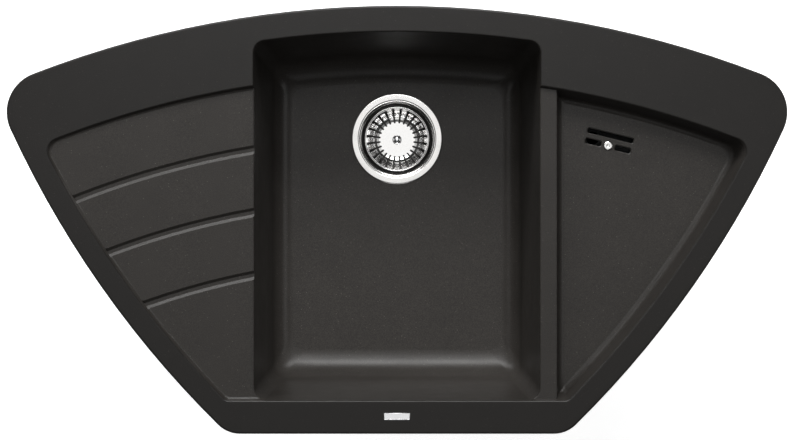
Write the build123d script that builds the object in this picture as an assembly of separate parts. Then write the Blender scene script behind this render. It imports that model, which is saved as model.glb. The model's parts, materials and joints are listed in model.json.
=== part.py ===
"""Corner kitchen sink in granite composite: casting, waste, overflow and clamps.

Millimetres. +X is to the right, +Y to the back and +Z up. The origin lies on the ring that bears
on the worktop (z = 0), in the middle of that ring's width, on the centre line of the front edge.
Depths are measured down from the rim's top, and drops down from the bowl's floor.
"""

from build123d import *
from math import asin, atan, atan2, cos, degrees, hypot, radians, sin, sqrt, tan
import os

# Rim and outline
overall_width = 930.0
overall_depth = 510.0
back_radius = 1200.0
side_radius = 1200.0
front_edge_length = 374.0
back_corner_radius = 49.0
front_corner_radius = 37.0
rim_thickness = 8.0
rim_edge_radius = 2.5
lip_radius = 1.5
lip_steps = 4

# What bears on the worktop, and the casting inside its cut-out
seat_width = 5.0
seal_width = 6.0
seal_thickness = 2.0
cutout_margin = 12.0
cutout_clearance = 2.0
deck_thickness = 15.0

# Sunk top: drainer on the left, ledge on the right
recess_back_margin = 82.5
recess_side_margin = 27.0
recess_front_margin = 39.5
recess_back_corner = 16.0
recess_front_corner = 9.0
sunk_draft = 19.0
recess_fillet = 3.5
drainer_depth_far = 3.5
drainer_depth_bowl = 6.0
ledge_depth = 5.5
ledge_width = 20.0

# Drainer grooves, each an arc about the centre of the back edge
groove_count = 3
groove_first = 75.0
groove_pitch = 73.6
groove_width = 11.0
groove_floor_width = 4.0
groove_depth = 2.4

# Bowl
bowl_width = 342.0
bowl_depth = 190.0
bowl_back_margin = 31.0
bowl_corner = 15.0
bowl_side_draft = 5.5
bowl_end_draft = 6.5
bowl_side_fillet = 24.0
bowl_end_fillet = 34.0
bowl_wall = 9.0
bowl_floor = 10.0

# Tray
tray_depth = 30.0
tray_draft = 15.0
tray_step_draft = 8.0
tray_fillet = 8.0
tray_wall = 8.0
tray_floor = 8.0
foot_dip = 0.05

# Badge plate and tap marks
badge_length = 31.6
badge_width = 9.0
badge_thickness = 1.0
badge_proud = 0.4
badge_corner = 0.8
badge_from_front = 20.8
tap_mark_radius = 17.5
tap_mark_spacing = 500.0
tap_mark_skin = 5.0

# Waste, on its own upright axis
waste_from_front = 356.8
flange_radius = 57.0
flange_thickness = 1.8
flange_lip = 12.0
flange_proud = 0.6
flange_bevel = 1.2
flange_gasket_thickness = 1.0
steel_sheet = 1.0
dish_seat_drop = 3.9
dish_shoulder_radius = 44.6
dish_wall_radius = 39.3
dish_floor_radius = 36.5
dish_drop = 44.5
dish_corner = 2.0
drain_hole_radius = 17.0
hub_radius = 9.0
hub_drop = 52.0
spoke_width = 6.0
spoke_count = 3
hole_clearance = 1.0

# Basket
basket_rim_radius = 40.0
basket_rim_wire = 1.2
basket_drop = 40.0
basket_floor_radius = 23.0
basket_corner = 11.0
basket_corner_steps = 6
basket_sheet = 0.8
slot_count = 24
slot_width = 2.4
slot_inner_radius = 21.0
slot_outer_radius = 33.5
stem_radius = 3.0
stem_below_hub = 2.0
knob_radius = 5.8
knob_height = 12.0
knob_waist = 4.1
knob_edge = 1.5
knob_dome = 3.5
knob_dome_steps = 8
seal_radius = 21.5
seal_step = 1.0
nut_radius = 6.0
nut_height = 2.0
running_clearance = 0.1

# Waste screw and moulded body
screw_radius = 5.0
screw_head_radius = 7.5
screw_head_height = 4.5
screw_length = 24.0
body_wall = 3.0
body_chamber_radius = 48.0
body_flange_radius = 58.0
body_flange_thickness = 4.0
under_gasket_thickness = 2.0
chamber_drop = 58.0
funnel_height = 14.0
outlet_radius = 23.9
outlet_wall = 3.4
outlet_thread_height = 1.0
outlet_length = 35.0
outlet_thread_length = 20.0
insert_wall = 1.8
insert_length = 14.0

# Overflow in the tray's floor
overflow_x = 253.4
overflow_from_front = 343.9
overflow_turn = -13.8
long_slot_length = 56.5
long_slot_width = 6.0
long_slot_offset = 12.6
long_slot_corner = 2.0
short_slot_length = 19.7
short_slot_width = 6.5
short_slot_offset = 18.2
short_slot_corner = 2.5
slot_lead = 0.7
slot_lead_slope = 60.0
overflow_screw_radius = 5.5
overflow_screw_shank = 2.5
overflow_socket_radius = 2.2
overflow_socket_point = 1.0
overflow_seat_depth = 1.5
overflow_head_proud = 1.4
overflow_insert_length = 12.0
overflow_screw_length = 26.0
overflow_gasket_thickness = 1.5
housing_margin = 4.5
housing_wall = 2.5
housing_depth = 26.0
housing_boss_radius = 6.0
housing_corner = 4.0

# Overflow hose and what it pushes on to
hose_bore = 20.0
hose_crest_radius = 12.6
hose_root_radius = 11.2
hose_rib_pitch = 4.0
hose_bend_radius = 60.0
spigot_length = 22.0
spigot_wall = 2.0
port_drop = 43.0
spigot_collar = 4.0
clip_band_width = 9.0
clip_band_thickness = 1.0
clip_lug_height = 6.0
clip_lug_length = 12.0
clip_screw_radius = 3.2
clip_screw_length = 5.0

# Worktop clamps
worktop_thickness = 40.0
clamp_from_edge = 18.5
anchor_across = 8.5
anchor_along = 16.0
anchor_height = 20.0
anchor_corner = 1.5
anchor_nut_drop = 13.0
anchor_peg_radius = 3.0
anchor_peg_length = 5.0
clamp_screw_radius = 2.5
clamp_screw_length = 34.0
clamp_head_radius = 5.0
clamp_head_height = 3.0
clamp_head_chamfer = 0.6
clamp_drive_width = 1.2
clamp_drive_depth = 1.2
clamp_nut_size = 8.0
clamp_nut_height = 3.0
arm_length = 24.0
arm_width = 12.0
arm_sheet = 2.0
arm_corner = 3.0
claw_height = 4.0
claw_width = 6.0
front_clamp_spacing = 220.0
back_clamp_spacing = 600.0
side_clamp_near = 150.0
side_clamp_far = 300.0

# Levels and lines that follow from the sizes
front_y = -seat_width / 2
rim_top = rim_thickness
deck_z = rim_top - deck_thickness
bowl_floor_z = rim_top - bowl_depth
tray_floor_z = rim_top - tray_depth
tray_under_z = tray_floor_z - tray_floor
drainer_z = rim_top - drainer_depth_bowl
ledge_z = rim_top - ledge_depth
half_bowl = bowl_width / 2
tray_x = half_bowl + ledge_width
back_centre = (0.0, front_y + overall_depth - back_radius)
waste_y = front_y + waste_from_front
overflow_y = front_y + overflow_from_front
overflow_seat_z = tray_floor_z - overflow_seat_depth
body_top_drop = bowl_floor + under_gasket_thickness
port_z = bowl_floor_z - port_drop
spigot_shoulder_radius = hose_crest_radius + 0.4
port_collar = body_chamber_radius + body_wall + spigot_collar
port_end = port_collar + spigot_length
insert_radius = screw_radius + insert_wall
overflow_insert_radius = overflow_screw_shank + insert_wall
outlet_local_x = -short_slot_offset
outlet_local_y = (long_slot_offset + long_slot_width / 2 - short_slot_width / 2) / 2
outlet_turn = radians(overflow_turn)
outlet_x = overflow_x + outlet_local_x * cos(outlet_turn) - outlet_local_y * sin(outlet_turn)
outlet_y = overflow_y + outlet_local_x * sin(outlet_turn) + outlet_local_y * cos(outlet_turn)
outlet_end_z = tray_under_z - overflow_gasket_thickness - housing_depth - spigot_collar
hose_across = (outlet_y - waste_y, -outlet_x, 0)
arm_under_z = -worktop_thickness - hole_clearance - claw_height - arm_sheet
clamp_nut_z = deck_z - anchor_nut_drop
quarter_turn = radians(90.0)


def turn_of(index, ahead, count):
    """Angle of one of several like features about an axis."""
    return 360.0 * (index + ahead) / count


def toward(centre, point, radius):
    """The point at a radius from a centre, in the direction of another point."""
    reach = radius / hypot(point[0] - centre[0], point[1] - centre[1])
    return (centre[0] + (point[0] - centre[0]) * reach, centre[1] + (point[1] - centre[1]) * reach)


def circles_meet(centre_a, radius_a, centre_b, radius_b):
    """The two points where two circles cross."""
    across = (centre_b[0] - centre_a[0], centre_b[1] - centre_a[1])
    apart = hypot(*across)
    along = (radius_a**2 - radius_b**2 + apart**2) / (2 * apart)
    aside = sqrt(radius_a**2 - along**2)
    foot = (centre_a[0] + along * across[0] / apart, centre_a[1] + along * across[1] / apart)
    step = (aside * across[1] / apart, -aside * across[0] / apart)
    return [(foot[0] + step[0], foot[1] + step[1]), (foot[0] - step[0], foot[1] - step[1])]


def other_side(point):
    """A point's mirror image in the sink's centre line."""
    return None if point is None else (-point[0], point[1])


def closed_face(start, runs, z):
    """Face inside a path of (end point, arc centre), where no centre means a straight run."""
    edges = []
    here = start
    for end, centre in runs:
        if centre is None:
            edges.append(Line((*here, z), (*end, z)))
        else:
            chord_middle = ((here[0] + end[0]) / 2, (here[1] + end[1]) / 2)
            radius = hypot(here[0] - centre[0], here[1] - centre[1])
            edges.append(ThreePointArc((*here, z), (*toward(centre, chord_middle, radius), z), (*end, z)))
        here = end
    return Face(Wire(edges))


def two_sided_face(points, centres, z):
    """Symmetric face: a back arc, then the right side's points down to the straight front edge."""
    runs = [(points[0], back_centre)] + list(zip(points[1:], centres))
    runs.append((other_side(points[-1]), None))
    for point, centre in zip(reversed(points[:-1]), reversed(centres)):
        runs.append((other_side(point), other_side(centre)))
    return closed_face(other_side(points[0]), runs, z)


def find_side_centre():
    """Centre of the right edge's arc, which touches the circles of both right-hand corners."""
    back_x = overall_width / 2 - back_corner_radius
    back_y = back_centre[1] + sqrt((back_radius - back_corner_radius) ** 2 - back_x**2)
    front = (front_edge_length / 2, front_y + front_corner_radius)
    reach_back = side_radius - back_corner_radius
    reach_front = side_radius - front_corner_radius
    return min(circles_meet((back_x, back_y), reach_back, front, reach_front))


side_centre = find_side_centre()


def outline_face(back_in, side_in, front_in, back_corner, front_corner, z):
    """The sink's outline drawn in by a margin on each edge, with its own corner radii."""
    back = back_radius - back_in
    side = side_radius - side_in
    low = front_y + front_in
    corner_a = max(circles_meet(back_centre, back - back_corner, side_centre, side - back_corner))
    rise = low + front_corner - side_centre[1]
    corner_b = (side_centre[0] + sqrt((side - front_corner) ** 2 - rise**2), low + front_corner)
    points = [
        toward(back_centre, corner_a, back),
        toward(side_centre, corner_a, side),
        toward(side_centre, corner_b, side),
        (corner_b[0], low),
    ]
    return two_sided_face(points, [corner_a, side_centre, corner_b], z)


def even_outline(margin, z):
    """The sink's outline drawn in by one margin all round."""
    back_corner = back_corner_radius - margin
    return outline_face(margin, margin, margin, back_corner, front_corner_radius - margin, z)


def bowl_face(side_in, end_in, corner, z):
    """The bowl's opening drawn in from its sides and from its front and back."""
    half = half_bowl - side_in
    back = back_radius - bowl_back_margin - end_in
    low = front_y + recess_front_margin + end_in
    across = half - corner
    corner_a = (across, back_centre[1] + sqrt((back - corner) ** 2 - across**2))
    corner_b = (across, low + corner)
    points = [toward(back_centre, corner_a, back), (half, corner_a[1]), (half, corner_b[1]), (across, low)]
    return two_sided_face(points, [corner_a, None, corner_b], z)


def wall_inset(depth, full_depth, draft, fillet):
    """How far a drafted wall that ends in a fillet has come in at a depth."""
    lean = tan(radians(draft))
    straight = full_depth - fillet + fillet * sin(radians(draft))
    if depth <= straight:
        return depth * lean
    centre = straight * lean + fillet * cos(radians(draft))
    return centre - sqrt(max(fillet**2 - (depth - full_depth + fillet) ** 2, 0.0))


def well_levels(full_depth, draft, fillet, steps):
    """Depths down a fillet, from the end of the straight wall to the floor."""
    angles = [draft + (90.0 - draft) * step / steps for step in range(steps + 1)]
    return [full_depth - fillet + fillet * sin(radians(angle)) for angle in angles]


def lip_rounds():
    """Steps round a lip: how far below its top, and how far out of the wall."""
    turns = [quarter_turn * (1 - step / lip_steps) for step in range(lip_steps + 1)]
    return [(lip_radius * (1 - sin(turn)), lip_radius * (1 - cos(turn))) for turn in turns]


def lip(face_at, top):
    """Rounded mouth of a hollow whose edge lies at a depth, with clear air above it."""
    air = loft([face_at(top - rim_thickness, lip_radius, top), face_at(top, lip_radius, top)], ruled=True)
    return air + loft([face_at(top + down, out, top) for down, out in lip_rounds()])


def well(face_at, levels):
    """Hollow with a rounded mouth at the rim, drafted walls and a curve into its floor."""
    walls = loft([face_at(lip_radius), face_at(levels[0])], ruled=True)
    return lip(face_at, 0.0) + walls + loft([face_at(depth) for depth in levels])


def bowl_at(depth, out=0.0, level=0.0):
    """The bowl's inside at a depth, wider by what its rounded lip adds."""
    side = wall_inset(max(depth, level), bowl_depth, bowl_side_draft, bowl_side_fillet) - out
    end = wall_inset(max(depth, level), bowl_depth, bowl_end_draft, bowl_end_fillet) - out
    return bowl_face(side, end, bowl_corner + out, rim_top - depth)


def bowl_hollow():
    """What the bowl takes out of the casting."""
    return well(bowl_at, well_levels(bowl_depth, bowl_end_draft, bowl_end_fillet, 8))


def bowl_shell():
    """Outside of the bowl, one wall thickness from its inside."""
    full = bowl_depth + bowl_floor

    def face_at(depth):
        side = wall_inset(depth, full, bowl_side_draft, bowl_side_fillet + bowl_wall) - bowl_wall
        end = wall_inset(depth, full, bowl_end_draft, bowl_end_fillet + bowl_wall) - bowl_wall
        return bowl_face(side, end, bowl_corner + bowl_wall, rim_top - depth)

    levels = well_levels(full, bowl_end_draft, bowl_end_fillet + bowl_wall, 6)
    walls = loft([face_at(rim_thickness / 2), face_at(levels[0])], ruled=True)
    return walls + loft([face_at(depth) for depth in levels])


def tray_at(depth, full_depth=tray_depth, wall=0.0):
    """Outline of the walls round the ledge and the tray at a depth, or of their outside."""
    above = min(depth, ledge_depth) * tan(radians(sunk_draft))
    below = max(depth - ledge_depth, 0.0)
    inset = above + wall_inset(below, full_depth - ledge_depth, tray_draft, tray_fillet + wall) - wall
    back, side, front = recess_back_margin, recess_side_margin, recess_front_margin
    corners = (recess_back_corner + wall, recess_front_corner + wall)
    return outline_face(back + inset, side + inset, front + inset, *corners, rim_top - depth)


def tray_levels(full_depth, fillet):
    """Depths down the curve between the tray's walls and its floor."""
    levels = well_levels(full_depth - ledge_depth, tray_draft, fillet, 6)
    return [ledge_depth + level for level in levels]


def right_of(x):
    """Half of all space, to the right of an upright plane."""
    size = (overall_width, 2 * overall_depth, overall_width)
    return Pos(x, 2 * front_y, 0) * Box(*size, align=(Align.MIN, Align.MIN, Align.CENTER))


def on_circle(centre, radius, turn):
    """The point of a circle at an angle from its first axis."""
    return (centre[0] + radius * cos(turn), centre[1] + radius * sin(turn))


def bank_arcs():
    """Arcs of the ledge's step, as three (x, z) points each: its lip, and the curve at its foot.

    The foot's curve dips below the tray's floor, so it crosses the floor at a small angle.
    """
    lean = radians(tray_step_draft)
    lip_centre = (tray_x - lip_radius, ledge_z - lip_radius)
    lip_turns = (quarter_turn, (quarter_turn + lean) / 2, lean)
    lip_arc = [on_circle(lip_centre, lip_radius, turn) for turn in lip_turns]
    foot_z = tray_floor_z + tray_fillet - foot_dip
    fall = lip_arc[-1][1] - foot_z + tray_fillet * sin(lean)
    foot_x = lip_arc[-1][0] + fall * tan(lean) + tray_fillet * cos(lean)
    wall_turn = 2 * quarter_turn + lean
    floor_turn = 3 * quarter_turn - asin(foot_dip / tray_fillet)
    foot_turns = (wall_turn, (wall_turn + floor_turn) / 2, floor_turn)
    return lip_arc, [on_circle((foot_x, foot_z), tray_fillet, turn) for turn in foot_turns]


def ledge_bank():
    """The bank that carries the ledge, which the hollow on the right leaves standing."""
    lip_arc, foot_arc = [[(x, 0, z) for x, z in arc] for arc in bank_arcs()]
    corners = [(foot_arc[-1][0], 0, tray_under_z), (0, 0, tray_under_z), (0, 0, ledge_z)]
    around = [foot_arc[-1], *corners, lip_arc[0]]
    runs = [Line(*ends) for ends in zip(around, around[1:])]
    runs += [ThreePointArc(*lip_arc), Line(lip_arc[-1], foot_arc[0]), ThreePointArc(*foot_arc)]
    return extrude(Face(Wire([run.edge() for run in runs])), amount=2 * overall_depth, both=True)


def right_walls():
    """What the walls of the ledge and the tray enclose, from beside the bowl outward."""
    levels = tray_levels(tray_depth, tray_fillet)
    slope = loft([recess_at(lip_radius), recess_at(ledge_depth)], ruled=True)
    walls = loft([tray_at(ledge_depth), tray_at(levels[0])], ruled=True)
    deep = lip(recess_at, 0.0) + slope + walls + loft([tray_at(depth) for depth in levels])
    return deep & right_of(half_bowl - bowl_corner)


def tray_shell():
    """Outside of the tray, one wall thickness from its inside."""
    full = tray_depth + tray_floor

    def face_at(depth):
        return tray_at(depth, full, tray_wall)

    levels = tray_levels(full, tray_fillet + tray_wall)
    walls = loft([face_at(rim_thickness / 2), face_at(ledge_depth)], ruled=True)
    walls = walls + loft([face_at(ledge_depth), face_at(levels[0])], ruled=True)
    return (walls + loft([face_at(depth) for depth in levels])) & right_of(tray_x - tray_wall)


def recess_at(depth, out=0.0, level=0.0):
    """The sunk top's outline at a depth, wider by what its rounded lip adds."""
    inset = max(depth, level) * tan(radians(sunk_draft)) - out
    back, side, front = recess_back_margin, recess_side_margin, recess_front_margin
    corners = (recess_back_corner + out, recess_front_corner + out)
    return outline_face(back + inset, side + inset, front + inset, *corners, rim_top - depth)


def drainer_walls():
    """What the drainer's walls enclose, deeper than its floor."""
    deep = loft([recess_at(lip_radius), recess_at(2 * drainer_depth_bowl)], ruled=True)
    return (lip(recess_at, 0.0) + deep) & right_of(half_bowl - bowl_corner).mirror(Plane.YZ)


def air_above(floor):
    """The space above a floor plane."""
    size = (3 * overall_width, 3 * overall_depth, overall_width)
    return floor * Box(*size, align=(Align.CENTER, Align.CENTER, Align.MIN))


def drainer_plane():
    """The drainer's floor, which falls towards the bowl."""
    floor_run = overall_width / 2 - recess_side_margin - half_bowl
    fall = degrees(atan((drainer_depth_bowl - drainer_depth_far) / floor_run))
    return Plane(Location((-half_bowl, 0, drainer_z), (0, fall, 0)))


def drainer_hollow(walls):
    """What the drainer takes out of the top: sloping floor, and a fillet round its three walls."""
    hollow = walls & air_above(drainer_plane())
    bottom = hollow.faces().sort_by(Axis.Z)[0]
    feet = [edge for edge in bottom.edges() if edge.center().X < bowl_corner - half_bowl - running_clearance]
    return fillet(feet, recess_fillet)


def drainer_grooves():
    """Arcs cut into the drainer's floor, from its left wall to the bowl."""
    floor = recess_at(drainer_depth_bowl)
    inside = extrude(floor, amount=2 * groove_depth, both=True)
    side = (groove_width - groove_floor_width) / 2
    rings = []
    for index in range(groove_count):
        radius = back_radius - recess_back_margin - groove_first - index * groove_pitch
        middle = back_centre[1] + radius
        low, high = drainer_z - groove_depth, drainer_z + groove_depth
        half_floor = groove_floor_width / 2
        corners = [
            (0, middle - half_floor, low),
            (0, middle + half_floor, low),
            (0, middle + half_floor + 2 * side, high),
            (0, middle - half_floor - 2 * side, high),
        ]
        profile = Face(Wire(Polyline(*corners, close=True).edges()))
        past_wall = degrees(overall_width / radius)
        rings.append(revolve(profile, Axis((*back_centre, 0), (0, 0, 1)), past_wall) & inside)
    level = Location(Plane((-half_bowl, 0, drainer_z)))
    return [Location(drainer_plane()) * level.inverse() * ring for ring in rings]


def overflow_place(z):
    """Where the overflow's slots, screw and housing are set out from."""
    return Pos(overflow_x, overflow_y, z) * Rot(0, 0, overflow_turn)


def overflow_slots():
    """The long slot, the two short ones and the screw's hole and seat, through the tray's floor."""
    through = 3 * tray_floor
    long = RectangleRounded(long_slot_length, long_slot_width, long_slot_corner)
    short = RectangleRounded(short_slot_length, short_slot_width, short_slot_corner)
    plan = [Pos(0, long_slot_offset) * long, Pos(-short_slot_offset, 0) * short, Pos(short_slot_offset, 0) * short]
    leads = [Pos(0, 0, -slot_lead) * extrude(face, amount=slot_lead, taper=-slot_lead_slope) for face in plan]
    plan.append(Circle(overflow_screw_shank + hole_clearance / 2))
    cuts = leads + [extrude(face, amount=through / 2, both=True) for face in plan]
    seat = extrude(Circle(overflow_screw_radius + hole_clearance / 2), amount=through)
    cuts.append(Pos(0, 0, overflow_seat_z - tray_floor_z) * seat)
    return [overflow_place(tray_floor_z) * cut for cut in cuts]


def clamp_places():
    """Position and turn of each clamp: +Y points out over the edge, and +X along it."""
    reach = clamp_from_edge
    places = []
    for sign in (-1, 1):
        places.append(((sign * front_clamp_spacing / 2, front_y + reach), (0, -1)))
    for sign in (-1, 1):
        radius = back_radius - reach
        x = sign * back_clamp_spacing / 2
        y = back_centre[1] + sqrt(radius**2 - x**2)
        places.append(((x, y), (x, y - back_centre[1])))
    for sign in (-1, 1):
        for along in (side_clamp_near, side_clamp_far):
            radius = side_radius - reach
            y = front_y + along
            x = side_centre[0] + sqrt(radius**2 - (y - side_centre[1]) ** 2)
            out = (sign * (x - side_centre[0]), y - side_centre[1])
            places.append(((sign * x, y), out))
    return [(point, degrees(atan2(out[1], out[0])) - 90.0) for point, out in places]


def clamp_place(place, z):
    """Location of a clamp at a height."""
    (x, y), turn = place
    return Pos(x, y, z) * Rot(0, 0, turn)


def tap_mark_points():
    """Middles of the blind marks under the back ledge, where a tap hole may be knocked through."""
    radius = back_radius - recess_back_margin / 2
    x = tap_mark_spacing / 2
    y = back_centre[1] + sqrt(radius**2 - x**2)
    return [(-x, y), (x, y)]


def casting_block():
    """The casting before anything is taken out of it."""
    corners = (back_corner_radius, front_corner_radius)
    rim = extrude(outline_face(0, 0, 0, *corners, 0), amount=rim_thickness, dir=(0, 0, 1))
    rim = fillet(rim.edges().group_by(Axis.Z)[-1], rim_edge_radius)
    deck_face = even_outline(cutout_margin + cutout_clearance, deck_z)
    deck = extrude(deck_face, amount=deck_thickness - rim_thickness / 2, dir=(0, 0, 1))
    return rim + deck + bowl_shell() + tray_shell()


def sink_body():
    """The one casting: rim, drainer, bowl, ledge and tray."""
    body = casting_block()
    left, right = drainer_walls(), right_walls()
    for hollow in (drainer_hollow(left), bowl_hollow(), right - ledge_bank()):
        body = body - hollow
    body = body - (lip(bowl_at, drainer_depth_bowl) & left) - (lip(bowl_at, ledge_depth) & right)
    for cut in drainer_grooves() + overflow_slots() + [waste_hole(), seal_groove(), badge_seat()]:
        body = body - cut
    for x, y in tap_mark_points():
        height = rim_top - tap_mark_skin - deck_z
        body = body - Pos(x, y, deck_z) * upright(tap_mark_radius, height)
    for place in clamp_places():
        peg = upright(anchor_peg_radius + running_clearance, anchor_peg_length + hole_clearance)
        body = body - clamp_place(place, deck_z) * peg
    return body


def upright(radius, height):
    """Round bar standing on its base."""
    return Cylinder(radius, height, align=(Align.CENTER, Align.CENTER, Align.MIN))


def tube(outer, inner, height):
    """Round tube standing on its base."""
    return upright(outer, height) - upright(inner, height)


def turned(profile):
    """Solid turned from (radius, drop below the bowl's floor) points about the waste's axis."""
    points = [(radius, 0, bowl_floor_z - drop) for radius, drop in profile]
    face = Face(Wire(Polyline(*points, close=True).edges()))
    return Pos(0, waste_y, 0) * revolve(face, Axis.Z, 360)


def waste_place(drop, turn=0.0):
    """Location on the waste's axis, at a drop below the bowl's floor."""
    return Pos(0, waste_y, bowl_floor_z - drop) * Rot(0, 0, turn)


def waste_hole():
    """Hole through the bowl's floor for the waste, and the seat of the flange."""
    hole_radius = dish_shoulder_radius + steel_sheet + hole_clearance
    seat_drop = flange_thickness + flange_gasket_thickness - flange_proud
    seat_radius = flange_radius + hole_clearance / 2
    air = -2 * bowl_floor
    deep = 3 * bowl_floor
    steps = [(0, air), (seat_radius, air), (seat_radius, seat_drop), (hole_radius, seat_drop)]
    return turned(steps + [(hole_radius, deep), (0, deep)])


def seal_ring(height):
    """The strip's ring under the rim, from the worktop's level up."""
    outside = extrude(even_outline(seat_width, 0), amount=height, dir=(0, 0, 1))
    return outside - extrude(even_outline(seat_width + seal_width, 0), amount=height, dir=(0, 0, 1))


def seal_groove():
    """Groove under the rim for the sealing strip."""
    return seal_ring(seal_thickness)


def rim_seal():
    """Foam strip between the rim and the worktop, pressed flush with the bearing ring."""
    return seal_ring(seal_thickness)


def badge_blank(growth, height, z):
    """Round-cornered blank for the badge plate or its seat."""
    shape = RectangleRounded(badge_length + 2 * growth, badge_width + 2 * growth, badge_corner + growth)
    return Pos(0, front_y + badge_from_front, z) * extrude(shape, amount=height)


def badge_seat():
    """Shallow seat of the badge plate in the front rim."""
    return badge_blank(running_clearance, rim_thickness, rim_top + badge_proud - badge_thickness)


def badge_plate():
    """Bare metal plate, let into the front rim."""
    plate = badge_blank(0, badge_thickness, rim_top + badge_proud - badge_thickness)
    return chamfer(plate.edges().group_by(Axis.Z)[-1], badge_proud / 2)


def waste_flange():
    """Stainless dish: ring in the bowl's floor, 45 degree seat for the basket, open bottom."""
    sheet = steel_sheet
    ring_under = flange_thickness - flange_proud
    lip_out = flange_radius - flange_lip
    seat_fall = dish_shoulder_radius - dish_wall_radius
    profile = [
        (flange_radius, ring_under),
        (flange_radius, 0.0),
        (flange_radius - flange_bevel, -flange_proud),
        (lip_out + flange_bevel, -flange_proud),
        (dish_shoulder_radius, sheet),
        (dish_shoulder_radius, dish_seat_drop),
        (dish_wall_radius, dish_seat_drop + seat_fall),
        (dish_floor_radius, dish_drop - dish_corner),
        (dish_floor_radius - dish_corner, dish_drop),
        (drain_hole_radius, dish_drop),
        (drain_hole_radius, dish_drop + sheet),
        (dish_floor_radius - dish_corner + sheet / 2, dish_drop + sheet),
        (dish_floor_radius + sheet, dish_drop - dish_corner + sheet / 2),
        (dish_wall_radius + sheet, dish_seat_drop + seat_fall + sheet / 2),
        (dish_shoulder_radius + sheet, dish_seat_drop + sheet / 2),
        (dish_shoulder_radius + sheet, ring_under),
    ]
    dish = turned(profile)
    thick = 1.5 * sheet
    hub = waste_place(hub_drop) * tube(hub_radius, screw_radius + running_clearance, thick)
    spoke = [
        (drain_hole_radius + sheet, dish_drop),
        (drain_hole_radius + sheet, dish_drop + thick),
        (hub_radius - sheet, hub_drop),
        (hub_radius - sheet, hub_drop - thick),
    ]
    points = [(radius, 0, -drop) for radius, drop in spoke]
    arm = extrude(Face(Wire(Polyline(*points, close=True).edges())), amount=spoke_width / 2, both=True)
    for index in range(spoke_count):
        hub = hub + waste_place(0, turn_of(index, 0.25, spoke_count)) * arm
    return dish + hub


def flange_gasket():
    """Ring under the flange, on the seat in the bowl's floor."""
    inner = dish_shoulder_radius + steel_sheet + hole_clearance
    low = flange_thickness - flange_proud + flange_gasket_thickness
    return waste_place(low) * tube(flange_radius - hole_clearance, inner, flange_gasket_thickness)


def under_gasket():
    """Ring between the bowl's underside and the waste body's flange."""
    inner = body_chamber_radius
    return waste_place(body_top_drop) * tube(body_flange_radius, inner, under_gasket_thickness)


def hose_line():
    """Plane of the hose: origin on the waste's axis at the port, X towards the overflow's outlet."""
    return Plane(origin=(0, waste_y, port_z), x_dir=(outlet_x, outlet_y - waste_y, 0), z_dir=hose_across)


def port_place(along):
    """Location on the side port's axis, facing out of the waste body."""
    plane = hose_line()
    return Plane(origin=plane.origin + plane.x_dir * along, x_dir=(0, 0, 1), z_dir=plane.x_dir).location


def waste_body():
    """Moulded body: chamber, funnel, hub for the screw and side port."""
    outer = body_chamber_radius + body_wall
    funnel = chamber_drop + funnel_height
    profile = [
        (body_chamber_radius, body_top_drop),
        (body_flange_radius, body_top_drop),
        (body_flange_radius, body_top_drop + body_flange_thickness),
        (outer, body_top_drop + body_flange_thickness),
        (outer, chamber_drop + body_wall / 2),
        (outlet_radius - outlet_thread_height, funnel),
        (outlet_radius - outlet_wall, funnel),
        (body_chamber_radius, chamber_drop),
    ]
    body = turned(profile)
    in_wall = body_chamber_radius + body_wall / 2
    collar = port_place(in_wall) * upright(spigot_shoulder_radius, port_collar - in_wall)
    spigot = port_place(in_wall) * upright(hose_bore / 2, port_end - in_wall)
    body = body + collar + spigot
    way_in = port_place(body_chamber_radius - body_wall)
    body = body - way_in * upright(hose_bore / 2 - spigot_wall, port_end - body_chamber_radius + body_wall)
    hub_top = hub_drop + hole_clearance
    hub = waste_place(hub_top + insert_length) * upright(insert_radius + body_wall, insert_length)
    rib_height = chamber_drop - hub_top
    rib = Box(in_wall, spoke_width, rib_height, align=(Align.MIN, Align.CENTER, Align.MIN))
    for index in range(spoke_count):
        hub = hub + waste_place(chamber_drop, turn_of(index, 0.75, spoke_count)) * rib
    body = body + hub
    bore = waste_place(hub_top + insert_length) * upright(insert_radius, insert_length)
    return body - bore


def outlet_tube():
    """Moulded tube under the funnel, thicker where a trap's nut screws on."""
    funnel = chamber_drop + funnel_height
    end = funnel + outlet_length
    neck = outlet_radius - outlet_thread_height
    inner = outlet_radius - outlet_wall
    thread_top = end - outlet_thread_length
    profile = [(inner, funnel), (neck, funnel), (neck, thread_top), (outlet_radius, thread_top)]
    return turned(profile + [(outlet_radius, end), (inner, end)])


def waste_insert():
    """Brass insert in the waste body's hub, threaded for the waste screw."""
    hub_top = hub_drop + hole_clearance
    ring = tube(insert_radius, screw_radius, insert_length)
    return waste_place(hub_top + insert_length) * ring


def waste_screw():
    """Screw that draws the dish and the body together, bored at the head for the basket's stem."""
    head_top = hub_drop - 1.5 * steel_sheet - screw_head_height
    shank_end = hub_drop - 1.5 * steel_sheet + screw_length
    shank = waste_place(shank_end) * upright(screw_radius, screw_length)
    head = waste_place(head_top + screw_head_height) * upright(screw_head_radius, screw_head_height)
    bore_depth = hub_drop + stem_below_hub - head_top + hole_clearance
    bore = waste_place(head_top + bore_depth) * upright(stem_radius + running_clearance, bore_depth)
    return shank + head - bore


def basket_seat_drop():
    """Drop of the basket's rolled rim, where it rests on the dish's 45 degree seat."""
    touch = basket_rim_radius + basket_rim_wire * cos(quarter_turn / 2)
    return dish_seat_drop + dish_shoulder_radius - touch - basket_rim_wire * sin(quarter_turn / 2)


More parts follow.
